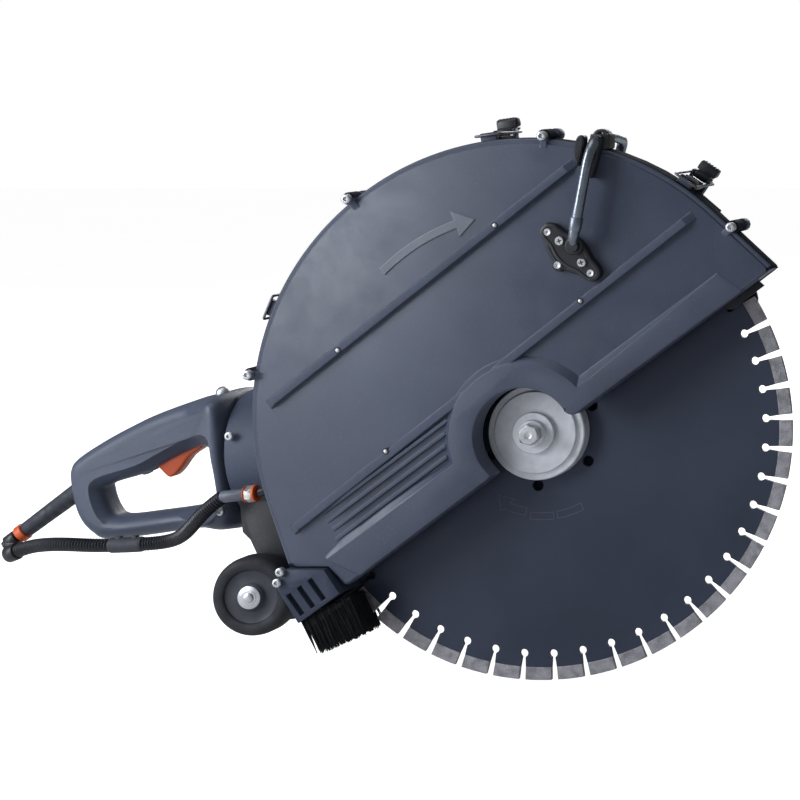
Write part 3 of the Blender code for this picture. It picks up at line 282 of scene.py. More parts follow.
SLATE = (0.048, 0.061, 0.101)
GUARD = plastic("guard_plastic", SLATE, 0.40, wear=0.12)
SHELL = plastic("shell_plastic", (0.036, 0.045, 0.073), 0.50, grain=0.00002, wear=0.12, sheen=0.2)
# A near-black copy of the cover's slate plastic for its rim wall: painted shade.
RIM_SHADE_PLASTIC = plastic("rim_painted_shade", (0.014, 0.017, 0.027), 0.75, grain=0.000002, wear=0.0, sheen=0.03)
MOTOR = plastic("motor_plastic", (0.054, 0.067, 0.105), 0.52, wear=0.12, sheen=0.25)
HANDLE = plastic("handle_plastic", (0.064, 0.079, 0.121), 0.46, grain=0.0001, wear=0.12)
BLACK = plastic("black_plastic", (0.010, 0.012, 0.017), 0.40, wear=0.2)
ORANGE = plastic("orange_plastic", (0.60, 0.088, 0.018), 0.38, wear=0.1)
RAISED = plastic("raised_mark", (0.17, 0.19, 0.23), 0.36, wear=0.3)
DARK_RUBBER = rubber("dark_rubber", (0.010, 0.0115, 0.017))
SEAL_RUBBER = rubber("seal_rubber", (0.007, 0.008, 0.011), 0.85, dust=0.03, skin=0.00001, sheen=0.05)
SOFT_BLACK = rubber("hose_rubber", (0.012, 0.014, 0.021), 0.32)
STUB_GREY = plastic("stub_grey", (0.085, 0.098, 0.128), 0.36)
GREY_RUBBER = rubber("grey_rubber", (0.026, 0.030, 0.042), 0.6)
BRISTLE = rubber("bristle_fibre", (0.004, 0.0045, 0.006), 0.7, dust=0.03, sheen=0.25)
ZINC = metal("zinc_plate", (0.62, 0.64, 0.67), 0.30)
FLANGE_STEEL = metal("turned_zinc", (0.68, 0.71, 0.77), 0.40, HUB, pits=0.24, bare=0.35)
DARK_WIRE = metal("dark_wire", (0.17, 0.18, 0.21), 0.34)
STEEL = metal("machined_steel", (0.42, 0.42, 0.44), 0.28)
CAST = metal("cast_alloy", (0.34, 0.35, 0.37), 0.5, pits=0.25)
COPPER = metal("copper_winding", (0.62, 0.28, 0.12), 0.35)
CARBON = rubber("carbon_block", (0.02, 0.02, 0.022), 0.6)
TUBE_PAINT = metal("painted_tube", (0.24, 0.27, 0.32), 0.26, pits=0.1)
BLADE = blade_coat("blade_coat", (0.030, 0.039, 0.069))
MARKING = blade_coat("blade_marking", (0.070, 0.082, 0.115))
SEGMENT = grit("diamond_segment", (0.37, 0.365, 0.40))
FITTING = metal("white_fitting", (0.70, 0.68, 0.64), 0.35)


# ---------------------------------------------------------------- mesh helpers

def placed(name, bm):
    """An object in metres from a bmesh in millimetres from the hub."""
    for vert in bm.verts:
        vert.co = HUB + vert.co * MM
    bmesh.ops.recalc_face_normals(bm, faces=bm.faces)
    mesh = bpy.data.meshes.new(name)
    bm.to_mesh(mesh)
    bm.free()
    obj = bpy.data.objects.new(name, mesh)
    bpy.context.scene.collection.objects.link(obj)
    return obj


def build(name, bm, finish, body, stands_for=(), sharp=35):
    """A piece made from a bmesh, which rides on a body and may stand for CAD nodes."""
    obj = placed(name, bm)
    obj.data.shade_smooth()
    obj.data.set_sharp_from_angle(angle=radians(sharp))
    obj.data.materials.append(finish)
    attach(obj, body)
    if stands_for:
        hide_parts(*stands_for)
    return obj


def bevelled(obj, width, angle=32):
    """The object with its sharp edges rounded over width millimetres."""
    made = obj.modifiers.new("edges", "BEVEL")
    made.width = width * MM
    made.segments = 2
    made.limit_method = "ANGLE"
    made.angle_limit = radians(angle)
    made.use_clamp_overlap = True
    return obj


def bridge(bm, first, second):
    """Faces between two rings of equal count, or between a ring and a single point."""
    count = max(len(first), len(second))
    for i in range(count):
        j = (i + 1) % count
        if len(first) == 1:
            bm.faces.new((first[0], second[i], second[j]))
        elif len(second) == 1:
            bm.faces.new((first[i], first[j], second[0]))
        else:
            bm.faces.new((first[i], first[j], second[j], second[i]))


def join(bm, rings):
    """Faces between each ring and the next, in order."""
    for first, second in zip(rings, rings[1:]):
        bridge(bm, first, second)


def skin(bm, rings):
    """A closed skin over a run of rings, with a face at each end."""
    join(bm, rings)
    bm.faces.new(rings[0])
    bm.faces.new(rings[-1])
    return bm


def loft(rings):
    """A new closed bmesh over rings of points."""
    bm = bmesh.new()
    return skin(bm, [[bm.verts.new(p) for p in ring] for ring in rings])


def ring_at(bm, outline, y):
    """A ring of new points: an (x, z) outline set at one y."""
    return [bm.verts.new((p[0], y, p[1])) for p in outline]


def collar(inner, outer, low, high, draw, ease):
    """A lathe profile for a ring whose two outer edges are eased."""
    return [(inner, low), (outer - draw, low), (outer, low + ease),
            (outer, high - ease), (outer - draw, high), (inner, high)]


def lathe(bm, profile, spot=(0, 0), steps=64, matrix=None):
    """Spin a (radius, y) profile round a Y axis through spot, or round a matrix's Z."""
    rings = []
    for radius, along in profile:
        angles = [0.0] if radius == 0 else [2 * pi * i / steps for i in range(steps)]
        ring = []
        for a in angles:
            if matrix is None:
                point = Vector((spot[0] + radius * cos(a), along, spot[1] + radius * sin(a)))
            else:
                point = matrix @ Vector((radius * cos(a), radius * sin(a), along))
            ring.append(bm.verts.new(point))
        rings.append(ring)
    join(bm, rings)
    if profile[0][0] > 0 and profile[-1][0] > 0:
        bridge(bm, rings[-1], rings[0])
    return bm


def slab(bm, outline, near, far, inset=0.0):
    """Extrude an (x, z) outline along Y; the near face may be drawn in for a chamfer."""
    pulled = shrunk(outline, inset) if inset else outline
    rings = [ring_at(bm, pulled, near)]
    if inset:
        rings.append(ring_at(bm, outline, near + inset))
    rings.append(ring_at(bm, outline, far))
    return skin(bm, rings)


def shrunk(outline, amount):
    """A closed outline drawn in by amount; a negative amount lets it out."""
    points = [Vector(p) for p in outline]
    area = sum(a.x * b.y - b.x * a.y for a, b in zip(points, points[1:] + points[:1]))
    turn = 1 if area > 0 else -1
    out = []
    for before, here, after in zip([points[-1]] + points[:-1], points, points[1:] + [points[0]]):
        first, second = (here - before).normalized(), (after - here).normalized()
        normal = Vector((-(first.y + second.y), first.x + second.x)).normalized() * turn
        spread = max(0.5, Vector((-first.y, first.x)).dot(normal * turn))
        out.append(here + normal * amount / spread)
    return out


def spline(padded, steps):
    """Catmull-Rom points between the second and the last but one of the given points."""
    out = []
    for a, b, c, d in zip(padded, padded[1:], padded[2:], padded[3:]):
        for i in range(steps):
            t = i / steps
            out.append(0.5 * (2 * b + (c - a) * t + (2 * a - 5 * b + 4 * c - d) * t * t
                              + (3 * b - a - 3 * c + d) * t ** 3))
    return out


def curve_points(path, steps=6):
    """A smooth run through the given points."""
    points = [Vector(p) for p in path]
    return spline([points[0] * 2 - points[1]] + points + [points[-1] * 2 - points[-2]], steps) + [points[-1]]


def closed_curve(outline, steps):
    """A smooth closed curve through an outline's corners."""
    points = [Vector(p) for p in outline]
    return spline([points[-1]] + points + points[:2], steps)


def sweep(bm, points, radii, sides=20):
    """A round section along points, with one radius for each point."""
    spans = [(b - a).normalized() for a, b in zip(points, points[1:])]
    tangents = [spans[0]] + [(a + b).normalized() for a, b in zip(spans, spans[1:])] + [spans[-1]]
    helper = Vector((0, 0, 1)) if abs(tangents[0].z) < 0.9 else Vector((1, 0, 0))
    side = tangents[0].cross(helper).normalized()
    rings = []
    for point, tangent, size in zip(points, tangents, radii):
        side = (side - tangent * side.dot(tangent)).normalized()
        up = tangent.cross(side)
        ring = []
        for i in range(sides):
            a = 2 * pi * i / sides
            ring.append(bm.verts.new(point + (side * cos(a) + up * sin(a)) * size))
        rings.append(ring)
    return skin(bm, rings)


def evenly(points, gap):
    """Points at equal distances along a run of points."""
    out, carry = [points[0]], 0.0
    for a, b in zip(points, points[1:]):
        span = (b - a).length
        at = gap - carry
        while at <= span:
            out.append(a.lerp(b, at / span))
            at += gap
        carry = span - (at - gap)
    return out


def polar(centre, radius, angle):
    """A point at a radius and an angle in degrees from a centre."""
    return Vector((centre[0] + radius * cos(radians(angle)), centre[1] + radius * sin(radians(angle))))


def circle(centre, radius, steps):
    """Points round a full circle."""
    return [polar(centre, radius, 360 * i / steps) for i in range(steps)]


def arc(centre, radius, start, end, count):
    """count + 1 points along an arc, in degrees."""
    return [polar(centre, radius, start + (end - start) * i / count) for i in range(count + 1)]


def on_edge(along, out):
    """A point along the guard's lower edge and outwards from it, from the hub."""
    return EDGE * along + OUTWARD * out


# ---------------------------------------------------------------- blade and hub

SEGMENTS = 48
SLOT_PHASE = -0.8
KEYHOLE_AT, KEYHOLE_R = 201.0, 3.65
SEGMENT_LOW = 213.0
CORE_HALF, SEGMENT_HALF = 1.4, 1.8
BORE_R = 12.7
DRIVE_HOLES, DRIVE_HOLE_AT, DRIVE_HOLE_R, DRIVE_HOLE_PHASE = 6, 50.0, 5.0, 26


def blade_rim():
    """The core's rim: between keyhole slots it runs just under the segments."""
    pitch = 360.0 / SEGMENTS
    points = []
    neck = degrees(asin(1.5 / KEYHOLE_AT))
    mouth = degrees(asin(2.3 / SEGMENT_LOW))
    for i in range(SEGMENTS):
        a = (i + 0.5) * pitch + SLOT_PHASE
        hole = polar((0, 0), KEYHOLE_AT, a)
        points.append(polar((0, 0), SEGMENT_LOW, a - mouth))
        points.append(polar((0, 0), KEYHOLE_AT + 4.0, a - neck))
        points += [hole + polar((0, 0), KEYHOLE_R, a - 28 - 304 * k / 12) for k in range(13)]
        points.append(polar((0, 0), KEYHOLE_AT + 4.0, a + neck))
        points.append(polar((0, 0), SEGMENT_LOW, a + mouth))
        points += arc((0, 0), SEGMENT_LOW, a + mouth + 1.2, a + pitch - mouth - 1.2, 3)
    return points


def add_hole(bm, edges, spot, radius, half, steps=28):
    """The wall of a round hole through the core, whose rings join both faces."""
    rings = [ring_at(bm, circle(spot, radius, steps), y) for y in (-half, half)]
    bridge(bm, rings[0], rings[1])
    for side, ring in enumerate(rings):
        edges[side] += [bm.edges.get((ring[i], ring[(i + 1) % steps])) for i in range(steps)]


def make_blade():
    """The core sheet with its bore, drive holes and keyholes, then the segments on its rim."""
    bm = bmesh.new()
    outline = blade_rim()
    rings = [ring_at(bm, outline, y) for y in (-CORE_HALF, CORE_HALF)]
    bridge(bm, rings[0], rings[1])
    edges = [[], []]
    for side, ring in enumerate(rings):
        edges[side] += [bm.edges.get((ring[i], ring[(i + 1) % len(ring)])) for i in range(len(ring))]
    add_hole(bm, edges, (0, 0), BORE_R, CORE_HALF, 48)
    for i in range(DRIVE_HOLES):
        spot = polar((0, 0), DRIVE_HOLE_AT, DRIVE_HOLE_PHASE + 360 // DRIVE_HOLES * i)
        add_hole(bm, edges, spot, DRIVE_HOLE_R, CORE_HALF)
    for found in edges:
        bmesh.ops.triangle_fill(bm, edges=found, use_beauty=True)
    build("blade_core", bm, BLADE, SPIN, ("blade",), 30)

    bm = bmesh.new()
    pitch = 360.0 / SEGMENTS
    gap_low = degrees(asin(2.4 / SEGMENT_LOW))
    gap_high = degrees(asin(2.9 / BLADE_R))
    for i in range(SEGMENTS):
        start = (i + 0.5) * pitch + SLOT_PHASE
        end = start + pitch
        low = arc((0, 0), SEGMENT_LOW + 0.05, start + gap_low, end - gap_low, 4)
        high = arc((0, 0), BLADE_R - 0.3, end - gap_high, start + gap_high, 4)
        slab(bm, low + high, -SEGMENT_HALF, SEGMENT_HALF)
    bevelled(build("blade_segments", bm, SEGMENT, SPIN, (), 30), 0.35)
    make_blade_marks()


def make_blade_marks():
    """Plain turning marks round the hub: two dashes and an arrow."""
    bm = bmesh.new()
    line, near, far = 0.7, -1.46, -1.38
    for start, end in ((-98.0, -82.0), (-80.0, -62.0)):
        rim_strip(bm, arc((0, 0), 81.0, start, end, 6) + arc((0, 0), 74.0, end, start, 6), line, near, far)
    head = [polar((0, 0), 82.0, -117.0), polar((0, 0), 70.0, -124.0), polar((0, 0), 66.6, -110.7)]
    shaft = arc((0, 0), 71.0, -113.5, -100.7, 4) + arc((0, 0), 78.5, -100.7, -115.0, 4)
    rim_strip(bm, head + shaft, line, near, far)
    build("blade_turning_marks", bm, MARKING, SPIN, (), 30)


def rim_strip(bm, outline, line, near, far):
    """A thin raised line that follows a closed outline."""
    inner = shrunk(outline, line)
    rings = [ring_at(bm, points, y)
             for points, y in ((outline, near), (inner, near), (inner, far), (outline, far))]
    join(bm, rings + rings[:1])


def make_hub():
    """The outer flange with its raised disc, the washer and the hexagon bolt."""
    bm = bmesh.new()
    lathe(bm, [(5.3, -16.9), (5.3, -4.3), (12.7, -4.3), (12.7, -1.9), (42.4, -1.9), (43.2, -2.6),
               (43.2, -12.6), (42.9, -13.4), (42.2, -14.0), (37.6, -14.0), (36.9, -14.4), (36.6, -16.3),
               (36.1, -16.9), (35.4, -17.0), (20.6, -17.0)],
          steps=96)
    build("outer_flange_plate", bm, FLANGE_STEEL, SPIN, ("outer_flange",), 12)
    bm = bmesh.new()
    lathe(bm, [(5.3, -25.0), (5.3, -17.3), (18.0, -17.3), (18.5, -17.8), (18.5, -20.6), (17.9, -21.2),
               (12.6, -21.2), (12.0, -21.8), (12.0, -24.4), (11.5, -25.0)], steps=64)
    build("flange_washer_plate", bm, FLANGE_STEEL, SPIN, ("flange_washer",), 12)
    bm = bmesh.new()
    hexagon(bm, (0, 0), 8.5, -32.0, -25.3, 12.0, 3.6)
    lathe(bm, [(0, -25.6), (5.0, -25.6), (5.0, 14.6), (0, 15.0)], steps=24)
    build("spindle_bolt_head", bm, ZINC, SPIN, ("spindle_bolt",), 14)


HEX_STEPS = 36
UNCUT = 9e9


def hexagon_outline(half_flat, cap, turn=0.0):
    """Points round a hexagon whose corners are turned off at a radius of cap."""
    points = []
    for i in range(HEX_STEPS):
        angle = 360 * i / HEX_STEPS
        off_flat = radians((angle + 30) % 60 - 30)
        points.append(polar((0, 0), min(half_flat / cos(off_flat), cap), angle + turn))
    return points


def hexagon(bm, spot, half_flat, near, far, turn=0.0, dimple=0.0):
    """A hexagon head whose near corners are turned off and whose face may be slightly dished."""
    rings = []
    for y, cap in ((far, UNCUT), (near + 1.1, UNCUT), (near, half_flat * 0.93)):
        rings.append(ring_at(bm, [Vector(spot) + p for p in hexagon_outline(half_flat, cap, turn)], y))
    join(bm, rings)
    bm.faces.new(rings[0])
    if not dimple:
        bm.faces.new(rings[-1])
        return
    inner = ring_at(bm, circle(spot, dimple, HEX_STEPS), near)
    join(bm, [rings[-1], inner, ring_at(bm, [spot], near + 0.9)])


def hexagon_nut(matrix, half_flat, low, high):
    """A new hexagon nut along a matrix's Z with its corners turned off at both ends."""
    ends = ((low, half_flat), (low + 0.8, UNCUT), (high - 0.8, UNCUT), (high, half_flat))
    return loft([[matrix @ Vector((*p, along)) for p in hexagon_outline(half_flat, cap)]
                 for along, cap in ends])


# ---------------------------------------------------------------- guard

FRONT, BACK = -38.0, -24.0
EDGE_OUT, ARCH_R = 11.5, 43.3
BOTTOM, BLOCK_CORNER = -116.0, -174.5
TIP_ANGLE, CORNER_ANGLE = 47.0, 199.0
LATCH_ANGLES = (158.0, 98.4, 55.9)
PROUD = 6.0
# The border's edge at the top and foot of its slope: ring radius, then (along, out) behind and ahead of it.
BORDER_TOP = (65.0, [(a, -17.5) for a in (-205, -175, -143, -110, -82)],
              [(a, -6.6 - 7.4 * (a - 80) / 143) for a in (80, 110, 140, 170, 200, 222)])
BORDER_FOOT = (71.0, [(-205, -20.0), (-175, -24.6), (-143, -26.6), (-110, -25.0), (-82, -22.6)],
               [(a, -13.8 - 0.6 * (a - 80) / 143) for a in (80, 110, 140, 170, 200, 222)])
LOUVRES = ((-26.6, -188.0, -62.0), (-35.2, -185.0, -57.0), (-43.9, -185.0, -50.5), (-52.2, -184.0, -42.5))
RIBS = ((Vector((-226.0, 27.6)), Vector((44.0, 241.6))), (Vector((-205.0, -83.0)), Vector((148.6, 195.0))))
RIVETS = ((-24.8, 186.5), (-163.0, 76.4), (-120.7, -12.5), (50.6, 119.8))


def rim_line(angle, inset):
    """The straight line that touches the guard's rim at an angle."""
    normal = Vector((cos(radians(angle)), sin(radians(angle))))
    return normal, GUARD_C.dot(normal) + GUARD_R - inset


def meet(normal_a, reach_a, normal_b, reach_b):
    """Where two lines, each a normal and a reach, cross."""
    det = normal_a.x * normal_b.y - normal_a.y * normal_b.x
    return Vector((reach_a * normal_b.y - reach_b * normal_a.y,
                   normal_a.x * reach_b - normal_b.x * reach_a)) / det


def corner(before, here, after, reach, steps=5):
    """A rounded corner at here."""
    start = here + (before - here).normalized() * reach
    end = here + (after - here).normalized() * reach
    return [start * (1 - t) ** 2 + here * 2 * t * (1 - t) + end * t ** 2
            for t in (i / steps for i in range(steps + 1))]


def chord(radius, out):
    """Half the length of a chord that runs out from the centre of a circle."""
    return (radius ** 2 - out ** 2) ** 0.5


def arch(radius, out, count, trim_rear=0.0, trim_front=0.0):
    """The arc round the spindle between two crossings of the lower edge, rear crossing first."""
    half = chord(radius, out)
    rear, front = on_edge(-half, out), on_edge(half, out)
    start = degrees(atan2(rear.y, rear.x)) % 360 - trim_rear
    end = degrees(atan2(front.y, front.x)) + trim_front
    return arc((0, 0), radius, start, end, count)


def cover_edge(rim_inset, inset):
    """The cover's outline, from the tip round the rim and back along the arched lower edge."""
    out = EDGE_OUT - inset
    tip = meet(*rim_line(TIP_ANGLE, rim_inset), OUTWARD, out)
    low = meet(*rim_line(CORNER_ANGLE, rim_inset), Vector((0, -1)), -(BOTTOM + inset))
    around = arc(GUARD_C, GUARD_R - rim_inset, TIP_ANGLE, CORNER_ANGLE, 88)
    rear = Vector((BLOCK_CORNER + inset, BOTTOM + inset))
    rear_end = on_edge((-159.0 + inset - OUTWARD.x * out) / EDGE.x, out)
    opening = arch(ARCH_R + inset, out, 40, 5.0, 9.0)
    half = chord(ARCH_R + inset, out)
    mouth, shoulder = on_edge(-half, out), on_edge(half + 2.0, out)
    points = corner(shoulder, tip, around[0], 2.5) + around
    points += corner(around[-1], low, rear, 3.0) + [rear]
    points += corner(rear, rear_end, mouth, 4.0)
    points += corner(rear_end, mouth, opening[0], 4.0) + opening
    return points + corner(opening[-1], shoulder, tip, 8.0)


def border_edge(edges, inset):
    """The raised border along the lower edge, which swells to a ring round the hub."""
    radius, behind, ahead = edges
    out = EDGE_OUT - inset
    rear_out, front_out = behind[-1][1], ahead[0][1]
    rear, front = on_edge(-chord(radius, rear_out), rear_out), on_edge(chord(radius, front_out), front_out)
    start, end = degrees(atan2(rear.y, rear.x)) % 360, degrees(atan2(front.y, front.x))
    opening = arch(ARCH_R + inset, out, 40, 5.0, 9.0)
    half = chord(ARCH_R + inset, out)
    mouth, shoulder = on_edge(-half, out), on_edge(half + 2.0, out)
    points = arc((0, 0), radius, start, end, 36)
    points += [on_edge(a, b) for a, b in ahead]
    points += [on_edge(a, out) for a in (230 - inset, 200, 170, 140, 110, 80)]
    points += list(reversed(corner(opening[-1], shoulder, points[-1], 8.0))) + list(reversed(opening))
    rear_run = [on_edge(a, out) for a in (-80, -110, -140, -170, -190 + inset)]
    points += list(reversed(corner(rear_run[0], mouth, opening[0], 4.0))) + rear_run
    return points + [on_edge(a, b) for a, b in behind]


def border_height(point):
    """How proud the border stands, which fades away from the hub."""
    far = max(0.0, point.length - 88.0)
    return PROUD * max(0.03, 1.0 - (far / 138.0) ** 1.3)


def add_border(bm):
    """The raised border: its foot sunk in the cover, its sloping side and its top."""
    rings = []
    for lift, share, inset, y_base in ((0, 0, -0.15, -30.0), (0, 0, -0.15, FRONT), (0.86, 0.9, 0.25, None),
                                       (0.97, 1.0, 0.9, None), (1.0, 1.12, 2.0, None)):
        foot, top = border_edge(BORDER_FOOT, inset), border_edge(BORDER_TOP, inset)
        ring = []
        for a, b in zip(foot, top):
            height = border_height(a)
            flat_point = a.lerp(b, share)
            y = y_base if y_base is not None else FRONT - height * lift
            ring.append(bm.verts.new((flat_point.x, y, flat_point.y)))
        rings.append(ring)
    skin(bm, rings)


def add_bar(bm, start, end, half, height, ramps, base=FRONT):
    """A raised bar with sloping ends and a slightly crowned, soft-edged section."""
    run = (end - start).normalized()
    side = Vector((-run.y, run.x))
    section = ((-1.0, 0.0), (-0.86, 0.72), (-0.70, 0.95), (0.0, 1.0), (0.70, 0.95), (0.86, 0.72), (1.0, 0.0))
    length = (end - start).length
    rings = []
    for along, rise in ((0, 0.02), (ramps[0], 1.0), (length - ramps[1], 1.0), (length, 0.02)):
        spot = start + run * along
        points = [(spot + side * half * s, base - height * rise * r) for s, r in section]
        ring = [bm.verts.new((p.x, y, p.y)) for p, y in points]
        ring += [bm.verts.new(((spot + side * half * s).x, base + 1.0, (spot + side * half * s).y))
                 for s in (1.0, -1.0)]
        rings.append(ring)
    skin(bm, rings)


def rim_matrix(angle, stand_off=0.0):
    """Local X along the rim, Y as the saw's Y, Z straight out, in millimetres from the hub."""
    out = Vector((cos(radians(angle)), 0, sin(radians(angle))))
    along = Vector((out.z, 0, -out.x))
    centre = Vector((GUARD_C.x, 0, GUARD_C.y)) + out * (GUARD_R + stand_off)
    turn = Matrix((along, Vector((0, 1, 0)), out)).transposed().to_4x4()
    return Matrix.Translation(centre) @ turn


def add_block(bm, low, high, matrix=None, ease=0.6):
    """A box with eased edges all round."""
    matrix = matrix or Matrix.Identity(4)
    made = bmesh.ops.create_cube(bm, size=1.0)["verts"]
    size = Vector(high) - Vector(low)
    centre = (Vector(high) + Vector(low)) / 2
    for vert in made:
        vert.co = Vector((vert.co.x * size.x, vert.co.y * size.y, vert.co.z * size.z)) + centre
    edges = list({e for v in made for e in v.link_edges})
    out = bmesh.ops.bevel(bm, geom=edges, offset=min(ease, min(size) * 0.45), segments=2, profile=0.6,
                          affect="EDGES", clamp_overlap=True)
    found = set(out["verts"]) | {v for f in out["faces"] for v in f.verts}
    found |= {v for v in made if v.is_valid}
    for vert in found:
        vert.co = matrix @ vert.co


def make_cover():
    """The front cover with its ribs, louvres, bosses and catches."""
    bm = bmesh.new()
    rings = [ring_at(bm, cover_edge(rim_inset, inset), y)
             for y, rim_inset, inset in ((BACK, 0, 0), (-34.0, 0, 0), (-35.9, 0.5, 0.3), (-36.7, 1.6, 0.7),
                                         (-36.8, 4.4, 1.0), (-37.7, 5.0, 1.2), (FRONT, 5.7, 1.5))]
    inner = [ring_at(bm, cover_edge(3.5, 3.5), y) for y in (-34.5, BACK)]
    join(bm, rings)
    bridge(bm, inner[0], inner[1])
    bridge(bm, inner[1], rings[0])
    bm.faces.new(rings[-1])
    bm.faces.new(inner[0])
    add_border(bm)
    for start, end in RIBS:
        add_bar(bm, start, end, 4.6, 4.6, (6.0, 9.0))
    for out, rear, front in LOUVRES:
        add_bar(bm, on_edge(rear, out), on_edge(front, out), 1.9, 2.9, (25.0, 3.0))
    for spot in SCREW_SPOTS:
        lathe(bm, [(2.6, -39.5), (5.0, -39.5), (5.7, -38.9), (5.8, BACK - 0.3), (2.6, BACK - 0.3)], spot, 32)
        inwards = (GUARD_C - spot).normalized()
        add_bar(bm, spot + inwards * 3.0, spot + inwards * 14.0, 3.6, 2.6, (0.5, 8.0), -36.9)
    for angle in LATCH_ANGLES:
        add_block(bm, (-7, -32.1, -3), (7, -26.0, 7.0), rim_matrix(angle), 0.8)
    # The rim's outer wall is the cover's second finish: a near-black copy of the cover plastic, painted
    # shade.
    for face in bm.faces:
        reach = min((Vector((vert.co.x, vert.co.z)) - GUARD_C).length for vert in face.verts)
        if reach > GUARD_R - 1.0:
            face.material_index = 1
    cover = build("guard_cover_moulding", bm, GUARD, BODY, ("guard_front_cover",), 24)
    cover.data.materials.append(RIM_SHADE_PLASTIC)
    make_cover_arrow()
    make_rivets()


def make_cover_arrow():
    """The raised arrow that shows which way the blade turns."""
    bm = bmesh.new()
    outer = arc(GUARD_C, 181.8, 135.5, 109.0, 18)
    inner = arc(GUARD_C, 174.2, 109.0, 135.5, 18)
    head = [polar(GUARD_C, 190.5, 110.6), polar(GUARD_C, 177.0, 104.6), polar(GUARD_C, 166.0, 110.6)]
    slab(bm, outer[:-1] + head + inner[1:], FRONT - 1.0, FRONT + 0.6, 0.5)
    bevelled(build("guard_turning_arrow", bm, RAISED, BODY, (), 30), 0.2)


def make_rivets():
    """Small rivets in dark seats on the ribs."""
    bm, seats = bmesh.new(), bmesh.new()
    for spot in RIVETS:
        lathe(seats, [(0, FRONT - 5.0), (2.6, FRONT - 5.0), (2.9, FRONT - 4.6), (2.9, FRONT), (0, FRONT)],
              spot, 20)
        lathe(bm, [(0, FRONT - 5.6), (1.0, FRONT - 5.5), (1.7, FRONT - 5.1), (1.8, FRONT - 4.0),
                   (0, FRONT - 4.0)], spot, 16)
    build("rib_rivet_seats", seats, BLACK, BODY)
    build("rib_rivets", bm, ZINC, BODY)


def star_head(bm, spot, radius, near, far):
    """A domed screw head with a six-lobed socket."""
    rings = []
    for share, y, wave in ((1.0, far, 0.0), (1.0, near + 1.0, 0.0), (0.90, near + 0.35, 0.0),
                           (0.70, near, 0.0), (0.46, near, 0.14), (0.4232, near + 1.6, 0.14)):
        around = [polar(spot, radius * share * (1 + wave * cos(radians(60 * i))), 10 * i) for i in range(36)]
        rings.append(ring_at(bm, around, y))
    skin(bm, rings)


def cross_head(bm, spot, radius, near, far):
    """The flat head of a cross screw; its recess is not cut but painted as a black cross of shade."""
    lathe(bm, [(0, far), (radius, far), (radius, near + 0.8), (radius * 0.85, near), (0, near)], spot, 28)


def painted_cross_shade(bm, spot, size, near):
    """A black cross laid in a screw head, turned a little: painted shade in place of a cut recess."""
    for angle in (20, 110):
        run = polar((0, 0), size, angle)
        side = polar((0, 0), size * 0.22, angle + 90)
        outline = [Vector(spot) + p for p in (run + side, side - run, -run - side, run - side)]
        slab(bm, outline, near - 0.06, near + 0.5)


def make_cover_screws():
    """The four cover screws and the brush block's two."""
    for i, spot in enumerate(SCREW_SPOTS, 1):
        bm = bmesh.new()
        star_head(bm, spot, 4.3, -45.2, -39.8)
        lathe(bm, [(0, -40.2), (2.3, -40.2), (2.3, -8.0), (0, -8.0)], spot, 16)
        build(f"cover_screw_head_{i}", bm, ZINC, BODY, (f"cover_screw_{i}",))
    bm = bmesh.new()
    for spot in ((-212.0, -118.0), (-214.5, -127.5)):
        star_head(bm, spot, 3.9, -48.0, -43.0)
    build("brush_block_screws", bm, ZINC, BODY)


# The lever's side view, as (y, z) from the rim.
LEVER_PLATE = ((3, 3.6), (16, 3.6), (18.6, 6.8), (22.2, 7.5), (23, 8.4), (23, 9.6), (22.2, 10.3), (4, 10.3),
               (2, 8.6), (2, 5.2))
LEVER_KNOB = ((9.6, 10.1), (18.0, 10.1), (19.8, 12.5), (18.9, 16.4), (17.2, 18.2), (15.5, 18.5),
              (12.4, 18.4), (10.2, 17.2), (9.5, 15.4))
# The bail's wire in the latch's own (x, y), at one height above the rim.
BAIL_HEIGHT, WIRE_R = 5.0, 1.15
BAIL_CORNERS = ((7.5, 14.0), (11, 14.0), (11, -33.5), (-11, -33.5), (-11, 14.0), (-7.5, 14.0))


def add_lever(bm, base, outline, half):
    """A (y, z) outline carried across the rim, its two ends eased."""
    ends = ((-half, 1.1), (0.35 - half, 0.4), (1.1 - half, 0.0), (half - 1.1, 0.0), (half - 0.35, 0.4),
            (half, 1.1))
    skin(bm, [[bm.verts.new(base @ Vector((x, p.x, p.y))) for p in shrunk(outline, draw)]
              for x, draw in ends])


def across(base, x, y, z):
    """A matrix whose local Z runs along the rim from a point of the latch."""
    return base @ Matrix.Translation(Vector((x, y, z))) @ Matrix.Rotation(pi / 2, 4, "Y")


